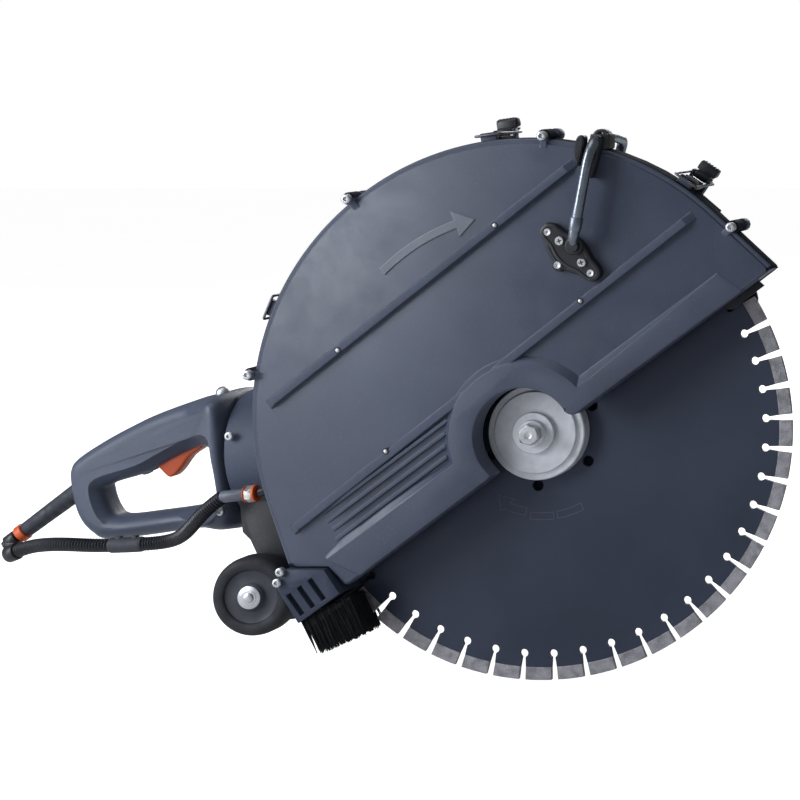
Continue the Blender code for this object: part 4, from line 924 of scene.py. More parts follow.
def make_latches():
    """Draw latches: a moulded lever with a ribbed finger knob, and a wire bail over the catch."""
    for i, angle in enumerate(LATCH_ANGLES, 1):
        base = rim_matrix(angle)
        bm = bmesh.new()
        add_lever(bm, base, LEVER_PLATE, 7.0)
        add_lever(bm, base, LEVER_KNOB, 9.3)
        for x in (-6.0, -3.0, 0.0, 3.0, 6.0):
            add_block(bm, (x - 0.7, 11.0, 17.4), (x + 0.7, 17.0, 18.9), base, 0.4)
        build(f"latch_lever_moulding_{i}", bm, BLACK, f"latch_lever_{i}", (f"latch_lever_{i}",), 40)
        corners = [Vector((x, y, BAIL_HEIGHT)) for x, y in BAIL_CORNERS]
        run = [corners[0]]
        for before, here, after in zip(corners, corners[1:], corners[2:]):
            run += corner(before, here, after, 2.4, 4)
        run.append(corners[-1])
        bail = sweep(bmesh.new(), [base @ p for p in run], [WIRE_R] * len(run), 12)
        build(f"latch_bail_wire_{i}", bail, DARK_WIRE, f"latch_bail_{i}", (f"latch_bail_{i}",), 50)
        bm = bmesh.new()
        for x in (-9.6, 9.6):
            lathe(bm, collar(0, 2.1, -1.0, 1.0, 0.4, 0.4), steps=16, matrix=across(base, x, 6.0, 6.0))
        build(f"latch_pin_heads_{i}", bm, ZINC, BODY)
        bm = bmesh.new()
        add_block(bm, (-8.4, -24.5, -1.0), (8.4, 0.6, 2.6), base, 0.8)
        add_block(bm, (-6.8, 0.2, -12.0), (6.8, 15.0, 1.0), base, 0.8)
        for y in (-20.0, -14.5, -9.0, -3.5):
            add_block(bm, (-7.2, y - 1.4, 2.0), (7.2, y + 1.4, 4.2), base, 0.6)
        build(f"latch_keeper_{i}", bm, BLACK, BODY, (), 40)
        pin = lathe(bmesh.new(), collar(0, 2.3, -6.6, 6.6, 0.4, 0.4), steps=20,
                    matrix=across(base, 0, -16.5, 4.0))
        build(f"latch_spring_pin_{i}", pin, DARK_WIRE, BODY)


# ---------------------------------------------------------------- brush

BRUSH_ROOT = Vector((-196.8, -162.6))
BRUSH_RUN = Vector((51.1, 23.1)).normalized()
TUFTS = 58
# Each row of tufts: its y and its length along the block.
TUFT_ROWS = [(-38.5 + 4.5 * i, 47.0) for i in range(7)] + [(7.0, 40.0), (11.0, 40.0)]
BRUSH_SKIRT = ((-186, -121), (-154, -121), (-148, -128), (-149, -139), (-156, -152), (-170, -160),
               (-184, -150))
# A dark sheet behind the blade's keyholes by the flap: painted shade seen through them.
KEYHOLE_SHADE_SHEET = ((150, 103), (172, 92), (188, 104), (190, 122), (176, 138), (156, 128))


def make_brush():
    """Rows of stiff tufts round a solid core, a rubber skirt behind the blade, and a dark sheet behind the
    keyholes by the flap, which is painted shade.
    """
    rng = random.Random(7)
    bm = bmesh.new()
    down = Vector((BRUSH_RUN.y, -BRUSH_RUN.x))
    for row, length in TUFT_ROWS:
        for i in range(TUFTS):
            root = BRUSH_ROOT + BRUSH_RUN * (length * (i + rng.random() * 0.8) / TUFTS)
            reach = 33.5 + rng.uniform(-2.2, 1.4)
            lean = BRUSH_RUN * rng.uniform(-1.8, 1.8)
            end = root + down * reach + lean
            y0, y1 = row + rng.uniform(-1.2, 1.2), row + rng.uniform(-2.0, 2.0)
            rings = []
            for spot, q, wide in ((root - down * 3, y0, 0.62), ((root + end) / 2, (y0 + y1) / 2, 0.62),
                                  (end, y1, 0.28)):
                half = BRUSH_RUN * wide
                rings.append([bm.verts.new((p.x, y, p.y)) for p, y in
                              ((spot + half, q), (spot, q + wide), (spot - half, q), (spot, q - wide))])
            skin(bm, rings)
    slab(bm, [Vector((-197.0, -163.4)), Vector((-192.0, -172.0)), Vector((-153.5, -144.0)),
              Vector((-155.5, -142.0))], -39.0, -11.0, 0.5)
    core = [BRUSH_ROOT + down * d + BRUSH_RUN * w
            for d, w in ((-2, 1.5), (30.5, 1.5), (30.5, 45.5), (-2, 45.5))]
    slab(bm, core, -36.5, -13.5, 0.8)
    build("brush_tufts", bm, BRISTLE, BODY, ("bristle_strip",), 60)
    # The second sheet is painted shade behind the keyholes, not a real part.
    for name, outline in (("rear_brush_skirt", BRUSH_SKIRT), ("keyhole_shade_sheet", KEYHOLE_SHADE_SHEET)):
        sheet = slab(bmesh.new(), closed_curve(outline, 4), 6.2, 9.0, 0.6)
        build(name, sheet, DARK_RUBBER, BODY, (), 40)


# ---------------------------------------------------------------- water line

def softened(path, reach, steps=5):
    """A path with its corners rounded."""
    points = [Vector(p) for p in path]
    out = [points[0]]
    for before, here, after in zip(points, points[1:], points[2:]):
        room = min(reach, (here - before).length * 0.48, (after - here).length * 0.48)
        out += corner(before, here, after, room, steps)
    return out + [points[-1]]


def along_axis(start, run):
    """A matrix whose local Z runs from start along run."""
    return Matrix.Translation(Vector(start)) @ Vector(run).to_track_quat("Z", "Y").to_matrix().to_4x4()


def make_water_tube():
    """The bent tube over the rim, its ferrule and the elbow at the nozzle."""
    path = softened([
        (46.5, -46.0, 168.5), (47.5, -50.0, 173.5), (49.5, -54.5, 179.0), (61.5, -54.5, 244.0),
        (64.0, -47.0, 261.0), (65.5, -10.0, 264.0), (64.0, 24.2, 259.0), (56.5, 24.2, 236.0),
        (53.6, 24.2, 229.5)], 9.0)
    tube = sweep(bmesh.new(), path, [4.5] * len(path), 24)
    build("water_tube_bent", tube, TUBE_PAINT, BODY, ("water_tube",))
    run = Vector((12.0, 0, 65.0)).normalized()
    ferrule = lathe(bmesh.new(), [(3.0, 4.0), (5.1, 4.0), (5.4, 4.5), (5.4, 15.0), (5.0, 15.6), (4.0, 15.6),
                                  (3.0, 15.6)], steps=24, matrix=along_axis((49.5, -54.5, 179.0), run))
    build("water_tube_ferrule", ferrule, TUBE_PAINT, BODY)
    elbow = lathe(bmesh.new(), [(0, -46.4), (8.0, -46.4), (8.0, -47.8), (7.2, -48.6), (5.6, -48.8),
                                (5.2, -52.5), (0, -52.5)], (46.8, 168.8), 32)
    build("nozzle_elbow", elbow, BLACK, BODY)


def make_tube_saddle():
    """The guide that carries the water tube over the rim: two leaf-shaped legs and a block."""
    bm = bmesh.new()
    left = [(45.8, 252.8), (48.5, 263.3), (52.9, 266.0), (55.2, 261.6), (52.0, 244.0), (49.4, 238.7),
            (46.7, 244.0)]
    right = [(57.3, 250.0), (59.0, 261.6), (64.3, 265.6), (69.3, 263.6), (68.0, 252.8), (65.2, 240.0),
             (60.8, 228.1), (57.3, 236.0)]
    for outline in (left, right):
        slab(bm, closed_curve(outline, 5), -46.5, FRONT + 0.5, 1.2)
    add_block(bm, (56.5, -37.5, 253.0), (73.5, -20.5, 267.0), None, 2.4)
    build("water_tube_saddle", bm, BLACK, BODY, (), 40)


NOZZLE_BOSSES = ((22.5, 180.7), (31.5, 151.6), (60.5, 144.6))
NOZZLE_SCREWS = ((33.6, 173.0), (53.1, 154.0))
NOZZLE_ARM = ((22.5, 180.7), (21.5, 170.0), (26.0, 160.0), (31.5, 152.5), (45.0, 146.5), (60.5, 144.6))


def make_nozzle():
    """A lens-shaped block, its screws, and the bosses that hold its bracket."""
    centre = Vector((42.5, 163.0))
    run = Vector((cos(radians(-44.0)), sin(radians(-44.0))))
    side = Vector((-run.y, run.x))
    half_widths = ((0, 13.3), (8, 12.3), (17, 9.3), (27, 8.2), (33, 4))
    widths = [(-t, w) for t, w in reversed(half_widths[1:])] + list(half_widths)
    coarse = [centre + run * t + side * w for t, w in widths]
    coarse += [centre + run * t - side * w for t, w in reversed(widths)]
    outline = curve_points(coarse + [coarse[0]], 4)[:-1]
    bm = bmesh.new()
    faces = ((FRONT - 0.2, 0.0), (-44.2, 0.0), (-45.5, 0.5), (-46.0, 1.8), (-46.0, 3.2), (-45.2, 3.6))
    skin(bm, [ring_at(bm, shrunk(outline, draw), y) for y, draw in faces])
    for spot in NOZZLE_BOSSES:
        lathe(bm, [(0, FRONT + 0.3), (6.2, FRONT + 0.3), (5.8, -41.5), (5.2, -42.2), (0, -42.2)], spot, 28)
    arm = curve_points([(x, -39.6, z) for x, z in NOZZLE_ARM], 6)
    sweep(bm, arm, [3.0] * len(arm), 12)
    build("nozzle_moulding", bm, BLACK, BODY, ("nozzle_block",), 40)
    bm = bmesh.new()
    for spot in NOZZLE_BOSSES:
        hexagon(bm, spot, 3.3, -45.6, -42.3, 10.0, 1.5)
    for spot in NOZZLE_SCREWS:
        cross_head(bm, spot, 4.0, -47.3, -45.4)
    build("nozzle_screws", bm, ZINC, BODY)
    # The screws' cross recesses are painted shade: black crosses, not cut hollows.
    bm = bmesh.new()
    for spot in NOZZLE_SCREWS:
        painted_cross_shade(bm, spot, 2.2, -47.3)
    build("nozzle_screw_recess_shade", bm, BLACK, BODY)


HOSE_PATH = (
    (-296.2, 16.3, -63.4), (-303.6, 17.0, -68.9), (-316.0, 19.5, -78.7), (-329.0, 27.0, -90.7),
    (-342.0, 37.0, -100.7), (-354.0, 45.0, -107.2), (-365.0, 48.5, -110.6), (-378.7, 50.0, -112.6),
    (-404.0, 50.0, -114.0), (-433.6, 50.0, -114.6), (-458.0, 51.0, -113.6), (-476.5, 55.0, -114.4),
    (-497.6, 64.0, -117.8), (-513.0, 69.0, -122.5), (-524.0, 71.0, -126.8))
HOSE_PITCH = 2.7
CLIP_SPAN = (-418.0, -387.0)


def make_hoses():
    """The corrugated hose, the smooth feed behind the guard, and their fittings."""
    smooth = softened(HOSE_PATH, 12.0, 6)
    fine = evenly(smooth, HOSE_PITCH / 4)
    waves = (5.0, 6.2, 6.4, 5.5)
    hose = sweep(bmesh.new(), fine, [waves[i % 4] for i in range(len(fine))], 20)
    build("water_hose_corrugated", hose, SOFT_BLACK, BODY, ("water_hose",), 60)
    under = [p for p in fine if CLIP_SPAN[0] <= p.x <= CLIP_SPAN[1]]
    sleeve = under[::3]
    bm = sweep(bmesh.new(), sleeve, [6.5] + [7.1] * (len(sleeve) - 2) + [6.5], 24)
    for x in (-410.0, -395.0):
        spot = min(fine, key=lambda p: abs(p.x - x))
        add_block(bm, spot + Vector((-2.2, -3.0, 5.6)), spot + Vector((2.2, 3.0, 8.4)), None, 0.7)
    build("hose_clip_sleeve", bm, GREY_RUBBER, BODY)

    inside_rim = [polar(GUARD_C, GUARD_R - 34.0, angle) for angle in range(76, 180, 8)]
    path = [(p.x, 24.2, p.y) for p in inside_rim]
    path += [(-222.0, 24.2, -28.0), (-242.0, 24.2, -47.0), (-257.0, 15.5, -58.0), (-262.5, 14.7, -59.4)]
    run = softened(path, 10.0, 3)
    build("feed_hose", sweep(bmesh.new(), run, [4.25] * len(run), 18), SOFT_BLACK, BODY, ("rear_hose",))

    base = along_axis((-263.8, 14.6, -59.7), (-38.2, 1.5, -4.5))
    stub = lathe(bmesh.new(), [(0, 9.5), (5.0, 9.5), (5.3, 10.0), (5.4, 33.0), (0, 33.0)], steps=28,
                 matrix=base)
    build("coupling_stub", stub, STUB_GREY, BODY, ("hose_coupling",))
    build("coupling_nut", hexagon_nut(base, 6.6, 2.6, 9.8), FITTING, BODY)
    bm = bmesh.new()
    for low, high in ((0.0, 2.9), (9.4, 10.9)):
        lathe(bm, collar(4.0, 7.7, low, high, 0.7, 0.5), steps=32, matrix=base)
    build("coupling_rings", bm, ORANGE, BODY)


# ---------------------------------------------------------------- wheels

WHEEL = (-266.0, -152.0)
WHEEL_SPANS = (("near", 5.0, 31.0), ("far", 66.0, 92.0))
# One side of a wheel's tyre and core, as radius and depth from its face.
TYRE_FACE = ((23.8, 2.4), (24.6, 1.2), (25.4, 0.5), (30.4, 0.1), (32.2, 0.7), (34.4, 2.6), (35.6, 5.0),
             (36.0, 7.6))
CORE_FACE = ((5.3, 0.3), (11.0, 0.3), (11.9, 0.9), (12.6, 2.6), (13.6, 3.2), (23.0, 3.0), (24.2, 2.2))


def make_wheels():
    """Two transport wheels, each a tyre on a dished core, and their through bolt."""
    for label, low, high in WHEEL_SPANS:
        node = f"wheel_{label}"
        for part, face, finish, steps in (("tyre", TYRE_FACE, DARK_RUBBER, 96),
                                          ("core", CORE_FACE, GREY_RUBBER, 80)):
            profile = [(r, low + d) for r, d in face] + [(r, high - d) for r, d in reversed(face)]
            build(f"{node}_{part}", lathe(bmesh.new(), profile, WHEEL, steps), finish, node, (node,), 40)
    low, high = WHEEL_SPANS[0][1], WHEEL_SPANS[1][2]
    bm = bmesh.new()
    lathe(bm, [(0, low - 1.6), (9.6, low - 1.6), (10.3, low - 1.2), (10.3, low - 0.3), (5.0, low - 0.3),
               (5.0, high + 0.3), (10.3, high + 0.3), (10.3, high + 1.2), (9.6, high + 1.6),
               (0, high + 1.6)], WHEEL, 48)
    lathe(bm, [(0, low - 4.2), (3.6, low - 4.2), (4.3, low - 3.7), (4.6, low - 2.0), (6.4, low - 1.9),
               (6.6, low - 1.5), (0, low - 1.5)], WHEEL, 36)
    hexagon(bm, WHEEL, 6.5, high + 5.4, high + 1.5, 8.0)
    build("wheel_axle_bolt", bm, ZINC, BODY, ("wheel_axle",), 40)


# ---------------------------------------------------------------- handle and cord

HANDLE_Y = 84.0
GRIP_HALF, NECK_HALF = 20.0, 52.0
HANDLE_OUTER = (
    (-309.5, 20.5), (-336.8, 20.2), (-356.9, 14.7), (-391.2, 2.1), (-415.4, -9.5), (-438.5, -22.1),
    (-462.2, -37.7), (-468.8, -47.8), (-468.8, -60.9), (-464.7, -82.5), (-457.7, -98.2), (-446.6, -109.2),
    (-434.5, -114.3), (-399.3, -110.8), (-357.9, -104.7), (-333.8, -101.7), (-296.0, -95.5),
    (-302.0, -37.0))
HANDLE_OPENING = (
    (-435.0, -62.9), (-438.0, -70.0), (-432.0, -86.0), (-422.4, -92.1), (-389.2, -88.6), (-350.9, -83.0),
    (-336.8, -77.0), (-332.8, -72.0), (-333.8, -60.9), (-337.8, -39.7), (-340.8, -29.7), (-350.9, -28.2),
    (-375.1, -39.2), (-400.3, -52.3))
TRIGGER = (
    (-342.5, -20.1), (-349.9, -29.7), (-361.0, -37.7), (-371.0, -51.3), (-379.1, -56.8), (-387.1, -50.3),
    (-390.2, -44.7), (-381.1, -32.6), (-361.0, -19.6), (-349.9, -13.0), (-342.9, -13.5))
LOCK_OFF = (-392.0, -16.0)
CORD_START = Vector((-441.0, HANDLE_Y, -50.5))
CORD_END = Vector((-515.0, HANDLE_Y - 3.0, -106.5))
CORD_RUN = (CORD_END - CORD_START).normalized()
MOTOR_ORIGIN = Vector((0, 90.0, 0))
MOTOR_DIR = Vector((-cos(radians(7.0)), 0, -sin(radians(7.0))))
# The pockets in the shells for the trigger and for the switch above it, as half a width, x and z.
TRIGGER_SLOT = (8.5, -397, -342, -54.8, -10.5)
SWITCH_POCKET = (10.8, -374, -330.7, -11.4, 4.9)
# The opening's flare, as depth from the middle and the outline's inset.
FLARE = ((-2.0, 0.0), (6.0, 0.0), (10.5, -1.0), (15.0, -3.8), (20.5, -9.0), (60.0, -26.0))


def half_width(x):
    """The handle's half width, which swells from the grip to the neck."""
    t = min(1.0, max(0.0, (x + 362.0) / 48.0))
    return GRIP_HALF + (NECK_HALF - GRIP_HALF) * t * t * (3 - 2 * t)


def carved(outer, cutters):
    """A bmesh, in millimetres from the hub, of the outer solid with the cutters taken away."""
    body = placed("helper", outer)
    helpers = [placed("helper", cutter) for cutter in cutters]
    for helper in helpers:
        cut = body.modifiers.new("cut", "BOOLEAN")
        cut.operation = "DIFFERENCE"
        cut.solver = "EXACT"
        cut.object = helper
    bpy.context.view_layer.update()
    graph = bpy.context.evaluated_depsgraph_get()
    mesh = bpy.data.meshes.new_from_object(body.evaluated_get(graph))
    out = bmesh.new()
    out.from_mesh(mesh)
    for obj in [body] + helpers:
        bpy.data.objects.remove(obj)
    for vert in out.verts:
        vert.co = (vert.co - HUB) / MM
    return out


def pocket(half, x_low, x_high, z_low, z_high):
    """A box across the handle's middle plane, used only as a cutter."""
    corners = ((x_low, z_low), (x_high, z_low), (x_high, z_high), (x_low, z_high))
    return loft([[Vector((x, y, z)) for x, z in corners] for y in (HANDLE_Y - half, HANDLE_Y + half)])


def layers(outline, levels):
    """A new bmesh over an outline's smooth rings, each at a y from the handle's middle and an inset."""
    rings = [(y, closed_curve(shrunk(outline, inset), 4)) for y, inset in levels]
    return loft([[Vector((p.x, HANDLE_Y + y, p.y)) for p in ring] for y, ring in rings])


def half_shell(side):
    """One half of the handle before it is cut, its section a rounded quarter."""
    rings = []
    for i in range(13):
        a = radians(89.6 * i / 12)
        depth, inset = sin(a) ** 0.9, 13.0 * (1 - cos(a) ** 0.72)
        ring = closed_curve(shrunk(HANDLE_OUTER, inset), 4)
        rings.append([Vector((p.x, HANDLE_Y + side * (0.12 + (half_width(p.x) - 0.5) * depth), p.y))
                      for p in ring])
    return loft(rings)


def make_handle():
    """Two half shells with a full, rounded section and a flared opening."""
    for label, side in (("near", -1), ("far", 1)):
        cord = sweep(bmesh.new(), [CORD_START - CORD_RUN * 8, CORD_START + CORD_RUN * 46], [10.0, 10.0], 28)
        motor = lathe(bmesh.new(), [(0, 200.0), (63.0, 200.0), (63.0, 305.3), (0, 305.3)], steps=72,
                      matrix=along_axis(MOTOR_ORIGIN, MOTOR_DIR))
        cutters = [layers(HANDLE_OPENING, [(side * depth, inset) for depth, inset in FLARE]), cord, motor,
                   pocket(*TRIGGER_SLOT), pocket(*SWITCH_POCKET)]
        if side > 0:
            cutters.append(lathe(bmesh.new(), [(0, HANDLE_Y + 5), (5.5, HANDLE_Y + 5), (5.5, HANDLE_Y + 60),
                                               (0, HANDLE_Y + 60)], LOCK_OFF, 28))
        build(f"handle_{label}_half", carved(half_shell(side), cutters), HANDLE, BODY,
              (f"handle_{label}_shell",), 50)
    make_trigger()
    make_handle_screws()


def make_trigger():
    """The trigger, the lock-off cap and the rest behind the trigger."""
    levels = ((-7.5, 2.4), (-7.0, 1.0), (-5.6, 0.2), (5.6, 0.2), (7.0, 1.0), (7.5, 2.4))
    build("trigger_moulding", layers(TRIGGER, levels), ORANGE, "trigger", ("trigger",), 50)
    bm = bmesh.new()
    y = HANDLE_Y
    lathe(bm, [(0, y + 9), (5.0, y + 9), (5.0, y + 23.8), (4.6, y + 24.6), (3.6, y + 25.0), (2.0, y + 24.7),
               (0, y + 24.6)], LOCK_OFF, 36)
    build("lock_off_cap", bm, ORANGE, "lock_off_button", ("lock_off_button",), 40)
    bm = bmesh.new()
    lathe(bm, [(0, 7.5), (3.5, 7.0), (6.6, 5.0), (8.0, 1.5), (8.2, -4.0), (0, -4.0)], steps=28,
          matrix=along_axis((-405.0, HANDLE_Y, -47.6), (0.4, 0, -1)))
    build("trigger_rest", bm, HANDLE, BODY, (), 50)


def make_handle_screws():
    """Two shell screws and the domed one on top of the neck."""
    bm = bmesh.new()
    for x, y, z in ((-297.5, 29.6, -10.5), (-306.5, 31.0, -79.3)):
        star_head(bm, (x, z), 3.9, y - 2.4, y + 2.0)
    lathe(bm, [(0, 7.2), (3.0, 6.6), (5.2, 4.6), (6.2, 1.6), (6.4, -3.0), (0, -3.0)], steps=32,
          matrix=along_axis((-325.0, 70.0, 22.0), (-0.12, -0.2, 1)))
    build("handle_screws", bm, ZINC, BODY)


def make_cord():
    """The boot and its orange ring, the cord, and the clip that ties the hose to it."""
    base = along_axis(CORD_START, CORD_RUN)
    bm = bmesh.new()
    profile = [(4.6, 0.0), (9.2, 0.0), (9.2, 21.0), (9.0, 22.0), (8.5, 22.8), (8.3, 24.0)]
    for i in range(7):
        at, size = 30.0 + 8.6 * i, 8.2 - 0.16 * i
        profile += [(size, at), (size - 0.25, at + 0.5), (size - 0.25, at + 1.1), (size - 0.02, at + 1.6)]
    profile += [(7.0, 91.6), (6.4, 92.7), (4.6, 92.8)]
    lathe(bm, profile, steps=40, matrix=base)
    build("cord_boot_moulding", bm, GREY_RUBBER, BODY, ("cord_boot",), 45)
    end = along_axis(CORD_END, CORD_RUN)
    ring = lathe(bmesh.new(), [(4.6, 0.3), (7.4, 0.3), (8.0, 0.9), (8.0, 6.6), (7.4, 7.3), (4.6, 7.3)],
                 steps=40, matrix=end)
    build("cord_ring_moulding", ring, ORANGE, BODY, ("cord_ring",), 40)
    points = [CORD_START + CORD_RUN * 1, CORD_END + CORD_RUN * 10, CORD_END + CORD_RUN * 24]
    jacket = sweep(bmesh.new(), points, [4.3] * 3, 24)
    build("cord_jacket", jacket, SOFT_BLACK, BODY, ("power_cord",))
    bm = bmesh.new()
    lathe(bm, collar(4.6, 6.9, 9.8, 20.2, 0.5, 0.6), steps=36, matrix=end)
    hose_end, before = Vector(HOSE_PATH[-1]), Vector(HOSE_PATH[-2])
    run = (hose_end - before).normalized()
    lathe(bm, [(5.0, -9.0), (7.4, -9.0), (7.9, -8.4), (7.9, 0.6), (7.4, 1.2), (0, 1.2)], steps=36,
          matrix=along_axis(hose_end, run))
    spot = (CORD_END + CORD_RUN * 15 + hose_end - run * 4) / 2
    add_block(bm, spot + Vector((-4.4, -5.5, -4.5)), spot + Vector((4.4, 5.5, 4.5)), None, 1.2)
    build("cord_clip_moulding", bm, BLACK, BODY, ("cord_hose_clip",), 40)


# ---------------------------------------------------------------- far side

def make_front_handle():
    """The bow handle and its ringed grip."""
    path = softened([(10.0, 44.0, 55.0), (10.0, 44.0, 150.0), (10.0, 188.0, 150.0), (10.0, 188.0, 0.0),
                     (10.0, 124.3, 0.0)], 22.0, 8)
    tube = sweep(bmesh.new(), path, [8.0] * len(path), 32)
    build("bow_handle_tube", tube, TUBE_PAINT, BODY, ("front_handle",))
    profile = [(8.3, 68.0), (12.6, 68.0), (14.6, 69.0), (15.0, 71.5), (13.9, 73.5)]
    for i in range(17):
        at = 76.0 + 5.0 * i
        profile += [(13.9, at), (14.2, at + 0.8), (14.2, at + 2.6), (13.9, at + 3.4)]
    profile += [(13.9, 161.0), (15.0, 162.5), (14.6, 165.0), (12.6, 166.0), (8.3, 166.0)]
    grip = lathe(bmesh.new(), profile, (10.0, 150.0), 48)
    build("bow_handle_grip", grip, DARK_RUBBER, BODY, ("front_grip",), 45)


def make_far_screws():
    """Screws on the gear housing's cover, facing away from the blade."""
    bm = bmesh.new()
    for i in range(4):
        spot = polar((0, 0), 43.0, 45 + 90 * i)
        lathe(bm, [(0, 123.0), (4.2, 123.0), (4.2, 127.0), (3.6, 127.8), (2.2, 127.8), (2.2, 125.6),
                   (0, 125.6)], spot, 28)
    build("gear_cover_screws", bm, ZINC, BODY)


def make_motor_ribs():
    """Cooling ribs along the motor's housing, held between two raised bands."""
    base = along_axis(MOTOR_ORIGIN, MOTOR_DIR)
    bm = bmesh.new()
    count = 40
    for i in range(count):
        turn = base @ Matrix.Rotation(2 * pi * (i + 0.5) / count, 4, "Z")
        add_block(bm, (60.2, -1.4, 114.0), (62.6, 1.4, 200.0), turn, 0.8)
    for at in (107.0, 202.0):
        lathe(bm, collar(60.0, 63.0, at, at + 5.0, 0.6, 0.6), steps=96, matrix=base)
    build("motor_ribs", bm, SHELL, BODY, (), 40)


def make_shell_ribs():
    """Stiffening ribs over the back of the rear shell, out from a ring round its hub."""
    bm = bmesh.new()
    face = 18.0
    lathe(bm, [(61.0, face - 1), (61.0, face + 2.0), (61.8, face + 2.8), (64.4, face + 2.8),
               (65.2, face + 2.0), (65.2, face - 1)], steps=96)
    for angle in (50, 72, 94, 116, 138, 160, 182, 200):
        turn = Matrix.Rotation(-radians(angle), 4, "Y")
        add_block(bm, (65.0, face - 1, -1.7), (188.0, face + 2.2, 1.7), turn, 0.9)
    for radius in (118.0, 188.0):
        path = [Vector((p.x, face + 0.4, p.y)) for p in arc((0, 0), radius, 48, 203, 60)]
        sweep(bm, path, [1.9] * len(path), 12)
    build("rear_shell_ribs", bm, SHELL, BODY, (), 40)


# ---------------------------------------------------------------- CAD nodes that stay

def smooth_by_angle(degrees_sharp=38.0):
    """A small node group that marks edges sharper than an angle and smooths the rest."""
    tree = bpy.data.node_groups.new("smooth_by_angle", "GeometryNodeTree")
    for way in ("INPUT", "OUTPUT"):
        tree.interface.new_socket("Geometry", in_out=way, socket_type="NodeSocketGeometry")
    nodes = Nodes(tree)
    start = nodes.add("NodeGroupInput")
    end = nodes.add("NodeGroupOutput")
    angle = nodes.add("GeometryNodeInputMeshEdgeAngle")
    sharp = nodes.add("FunctionNodeCompare", data_type="FLOAT", operation="GREATER_THAN",
                      B=radians(degrees_sharp))
    faces = nodes.add("GeometryNodeSetShadeSmooth", domain="FACE", Shade_Smooth=True)
    edges = nodes.add("GeometryNodeSetShadeSmooth", domain="EDGE", Shade_Smooth=False)
    nodes.feed(faces, "Geometry", start.outputs[0])
    nodes.feed(edges, "Geometry", faces.outputs[0])
    nodes.feed(sharp, "A", angle.outputs["Unsigned Angle"])
    nodes.feed(edges, "Selection", sharp.outputs["Result"])
    nodes.feed(end, "0", edges.outputs[0])
    return tree


SLOT_FINISH = {
    "housing_plastic": SHELL, "black_plastic": BLACK, "cast_alloy": CAST, "zinc_steel": ZINC,
    "machined_steel": STEEL, "blade_steel": BLADE, "copper_winding": COPPER, "carbon": CARBON,
    "orange_plastic": ORANGE, "soft_rubber": DARK_RUBBER, "grey_rubber": GREY_RUBBER, "bristle": BRISTLE,
    "painted_tube": TUBE_PAINT}
NODE_FINISH = {"guard_band": SEAL_RUBBER, "motor_housing": MOTOR}
EASED = {"guard_rear_shell": 0.7, "brush_block": 0.7, "motor_housing": 0.8, "gear_housing": 1.0,
         "gear_housing_cover": 0.8, "wheel_bracket": 0.8, "tube_clip": 0.6, "rubber_flap": 0.4,
         "guard_band": 0.5}


def refine_frame():
    """Finish every CAD node, weld its facets and round off the edges that show."""
    group = smooth_by_angle()
    slots = {part["node"]: part["material_slot"] for part in frame["record"]["subparts"]}
    for name, obj in frame["nodes"].items():
        obj.data.materials.clear()
        obj.data.materials.append(NODE_FINISH.get(name, SLOT_FINISH[slots[name]]))
        if obj.hide_render:
            continue
        custom = obj.data.attributes.get("custom_normal")
        if custom:
            obj.data.attributes.remove(custom)
        weld = obj.modifiers.new("weld", "WELD")
        weld.merge_threshold = 2e-5
        flatten = obj.modifiers.new("planes", "DECIMATE")
        flatten.decimate_type = "DISSOLVE"
        flatten.angle_limit = radians(1.0)
        if name in EASED:
            bevelled(obj, EASED[name], 40)
        smooth = obj.modifiers.new("smooth", "NODES")
        smooth.node_group = group


# ---------------------------------------------------------------- stage

STATION = HUB + Vector((860.0, -2100.0, 332.0)) * MM
SHIFT_X, SHIFT_Y = -1.375, -0.425
LENS = 105.2
COOL, WHITE = (0.93, 0.96, 1.0), (1.0, 1.0, 1.0)
# How bright the floor and the surround look to the camera; the surround lights the saw far less.
FLOOR_GLOW, SKY_SEEN, SKY_LIGHT = 0.84, 1.0, 0.17


def at_station(camera, path, shift):
    """A lens shift that holds only while the camera stands at its own station."""
    driver = camera.data.driver_add(path).driver
    driver.type = "SCRIPTED"
    for label, channel in (("x", "LOC_X"), ("y", "LOC_Y")):
        place = driver.variables.new()
        place.name = label
        place.type = "TRANSFORMS"
        place.targets[0].id = camera
        place.targets[0].transform_type = channel
        place.targets[0].transform_space = "WORLD_SPACE"
    near = f"abs(x - {STATION.x:.4f}) < 0.01 and abs(y - {STATION.y:.4f}) < 0.01"
    driver.expression = f"{shift} if {near} else 0.0"


def make_camera():
    """The camera, level and square to the blade, with the hub off its axis."""
    data = bpy.data.cameras.new("camera")
    camera = bpy.data.objects.new("camera", data)
    bpy.context.scene.collection.objects.link(camera)
    camera.location = STATION
    camera.rotation_euler = (pi / 2, 0, 0)
    data.sensor_width = 36.0
    data.lens = LENS
    data.clip_end = 60.0
    at_station(camera, "shift_x", SHIFT_X)
    at_station(camera, "shift_y", SHIFT_Y)
    bpy.context.scene.camera = camera


def soft_light(name, spot, target, size, power, colour):
    """A rectangular area light aimed at a point and hidden from the camera."""
    data = bpy.data.lights.new(name, "AREA")
    data.shape = "RECTANGLE"
    data.size, data.size_y = size
    data.energy = power
    data.color = colour
    obj = bpy.data.objects.new(name, data)
    obj.location = spot
    obj.rotation_euler = (Vector(target) - Vector(spot)).to_track_quat("-Z", "Y").to_euler()
    obj.visible_camera = False
    bpy.context.scene.collection.objects.link(obj)


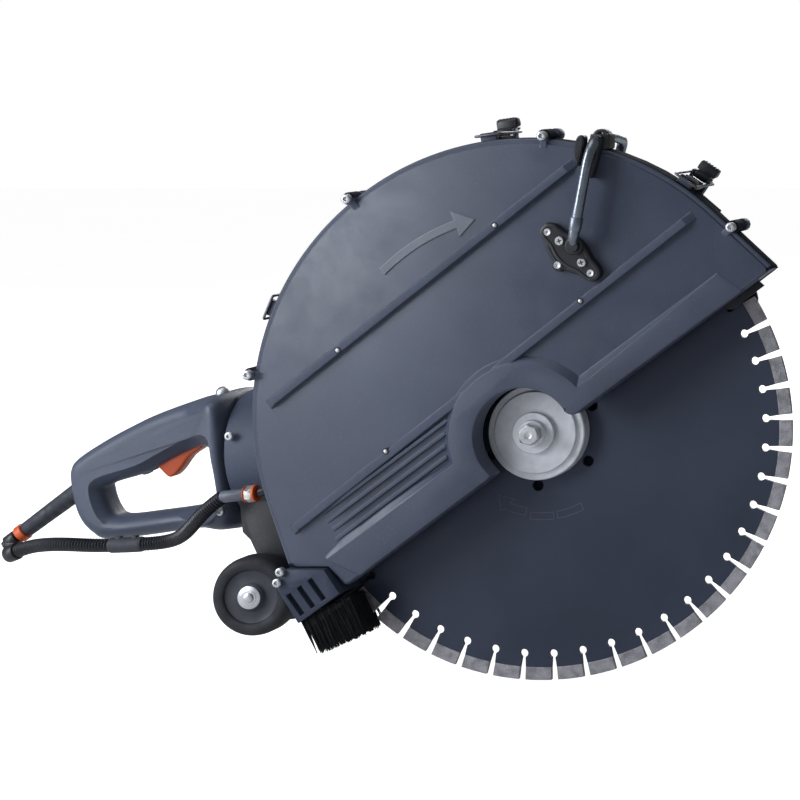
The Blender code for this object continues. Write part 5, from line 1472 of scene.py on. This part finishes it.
def seen_and_lit(nodes, seen, lit):
    """One strength for camera rays and another for the light that falls on the saw."""
    camera_ray = nodes.add("ShaderNodeLightPath").outputs["Is Camera Ray"]
    return nodes.math("ADD", lit, nodes.math("MULTIPLY", camera_ray, seen - lit))


def make_stage():
    """The pale floor, the white surround and the soft lights."""
    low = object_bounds()[0]
    bpy.ops.mesh.primitive_plane_add(size=16.0, location=(0, 0, low.z - 0.0006))
    floor = bpy.context.object
    floor.name = "floor"
    made, nodes, shader = material("floor_paint")
    tone = nodes.spread(nodes.noise(3.0, 4.0), 0.80, 0.84)
    shade = nodes.add("ShaderNodeCombineColor")
    for channel in ("Red", "Green", "Blue"):
        nodes.feed(shade, channel, tone)
    nodes.feed(shader, "Base Color", shade.outputs[0])
    shader.inputs["Roughness"].default_value = 0.7
    nodes.feed(shader, "Emission Color", WHITE)
    nodes.feed(shader, "Emission Strength", seen_and_lit(nodes, FLOOR_GLOW, 0.0))
    floor.data.materials.append(made)

    scene = bpy.context.scene
    world = bpy.data.worlds.new("studio")
    scene.world = world
    world.use_nodes = True
    nodes = Nodes(world.node_tree)
    back = world.node_tree.nodes["Background"]
    nodes.feed(back, "Color", WHITE)
    nodes.feed(back, "Strength", seen_and_lit(nodes, SKY_SEEN, SKY_LIGHT))
    aim = HUB + Vector((-100.0, 0.0, 40.0)) * MM
    soft_light("key_left", (-1.45, -1.15, 0.70), aim + Vector((-0.15, 0, 0)), (0.9, 1.3), 30, COOL)
    soft_light("top", (-0.5, -0.6, 1.9), aim, (1.5, 1.0), 8, COOL)
    soft_light("fill_front", (0.7, -3.2, 0.5), aim, (1.6, 1.2), 2.5, COOL)
    soft_light("far_side", (-0.3, 2.6, 1.3), aim, (1.8, 1.4), 34, WHITE)
    scene.view_settings.view_transform = "Standard"
    scene.view_settings.look = "None"


def main():
    """Make every piece, then finish the CAD nodes and set the stage."""
    make_blade()
    make_hub()
    make_cover()
    make_cover_screws()
    make_latches()
    make_brush()
    make_water_tube()
    make_tube_saddle()
    make_nozzle()
    make_hoses()
    make_wheels()
    make_handle()
    make_cord()
    make_front_handle()
    make_far_screws()
    make_motor_ribs()
    make_shell_ribs()
    refine_frame()
    make_camera()
    make_stage()


main()
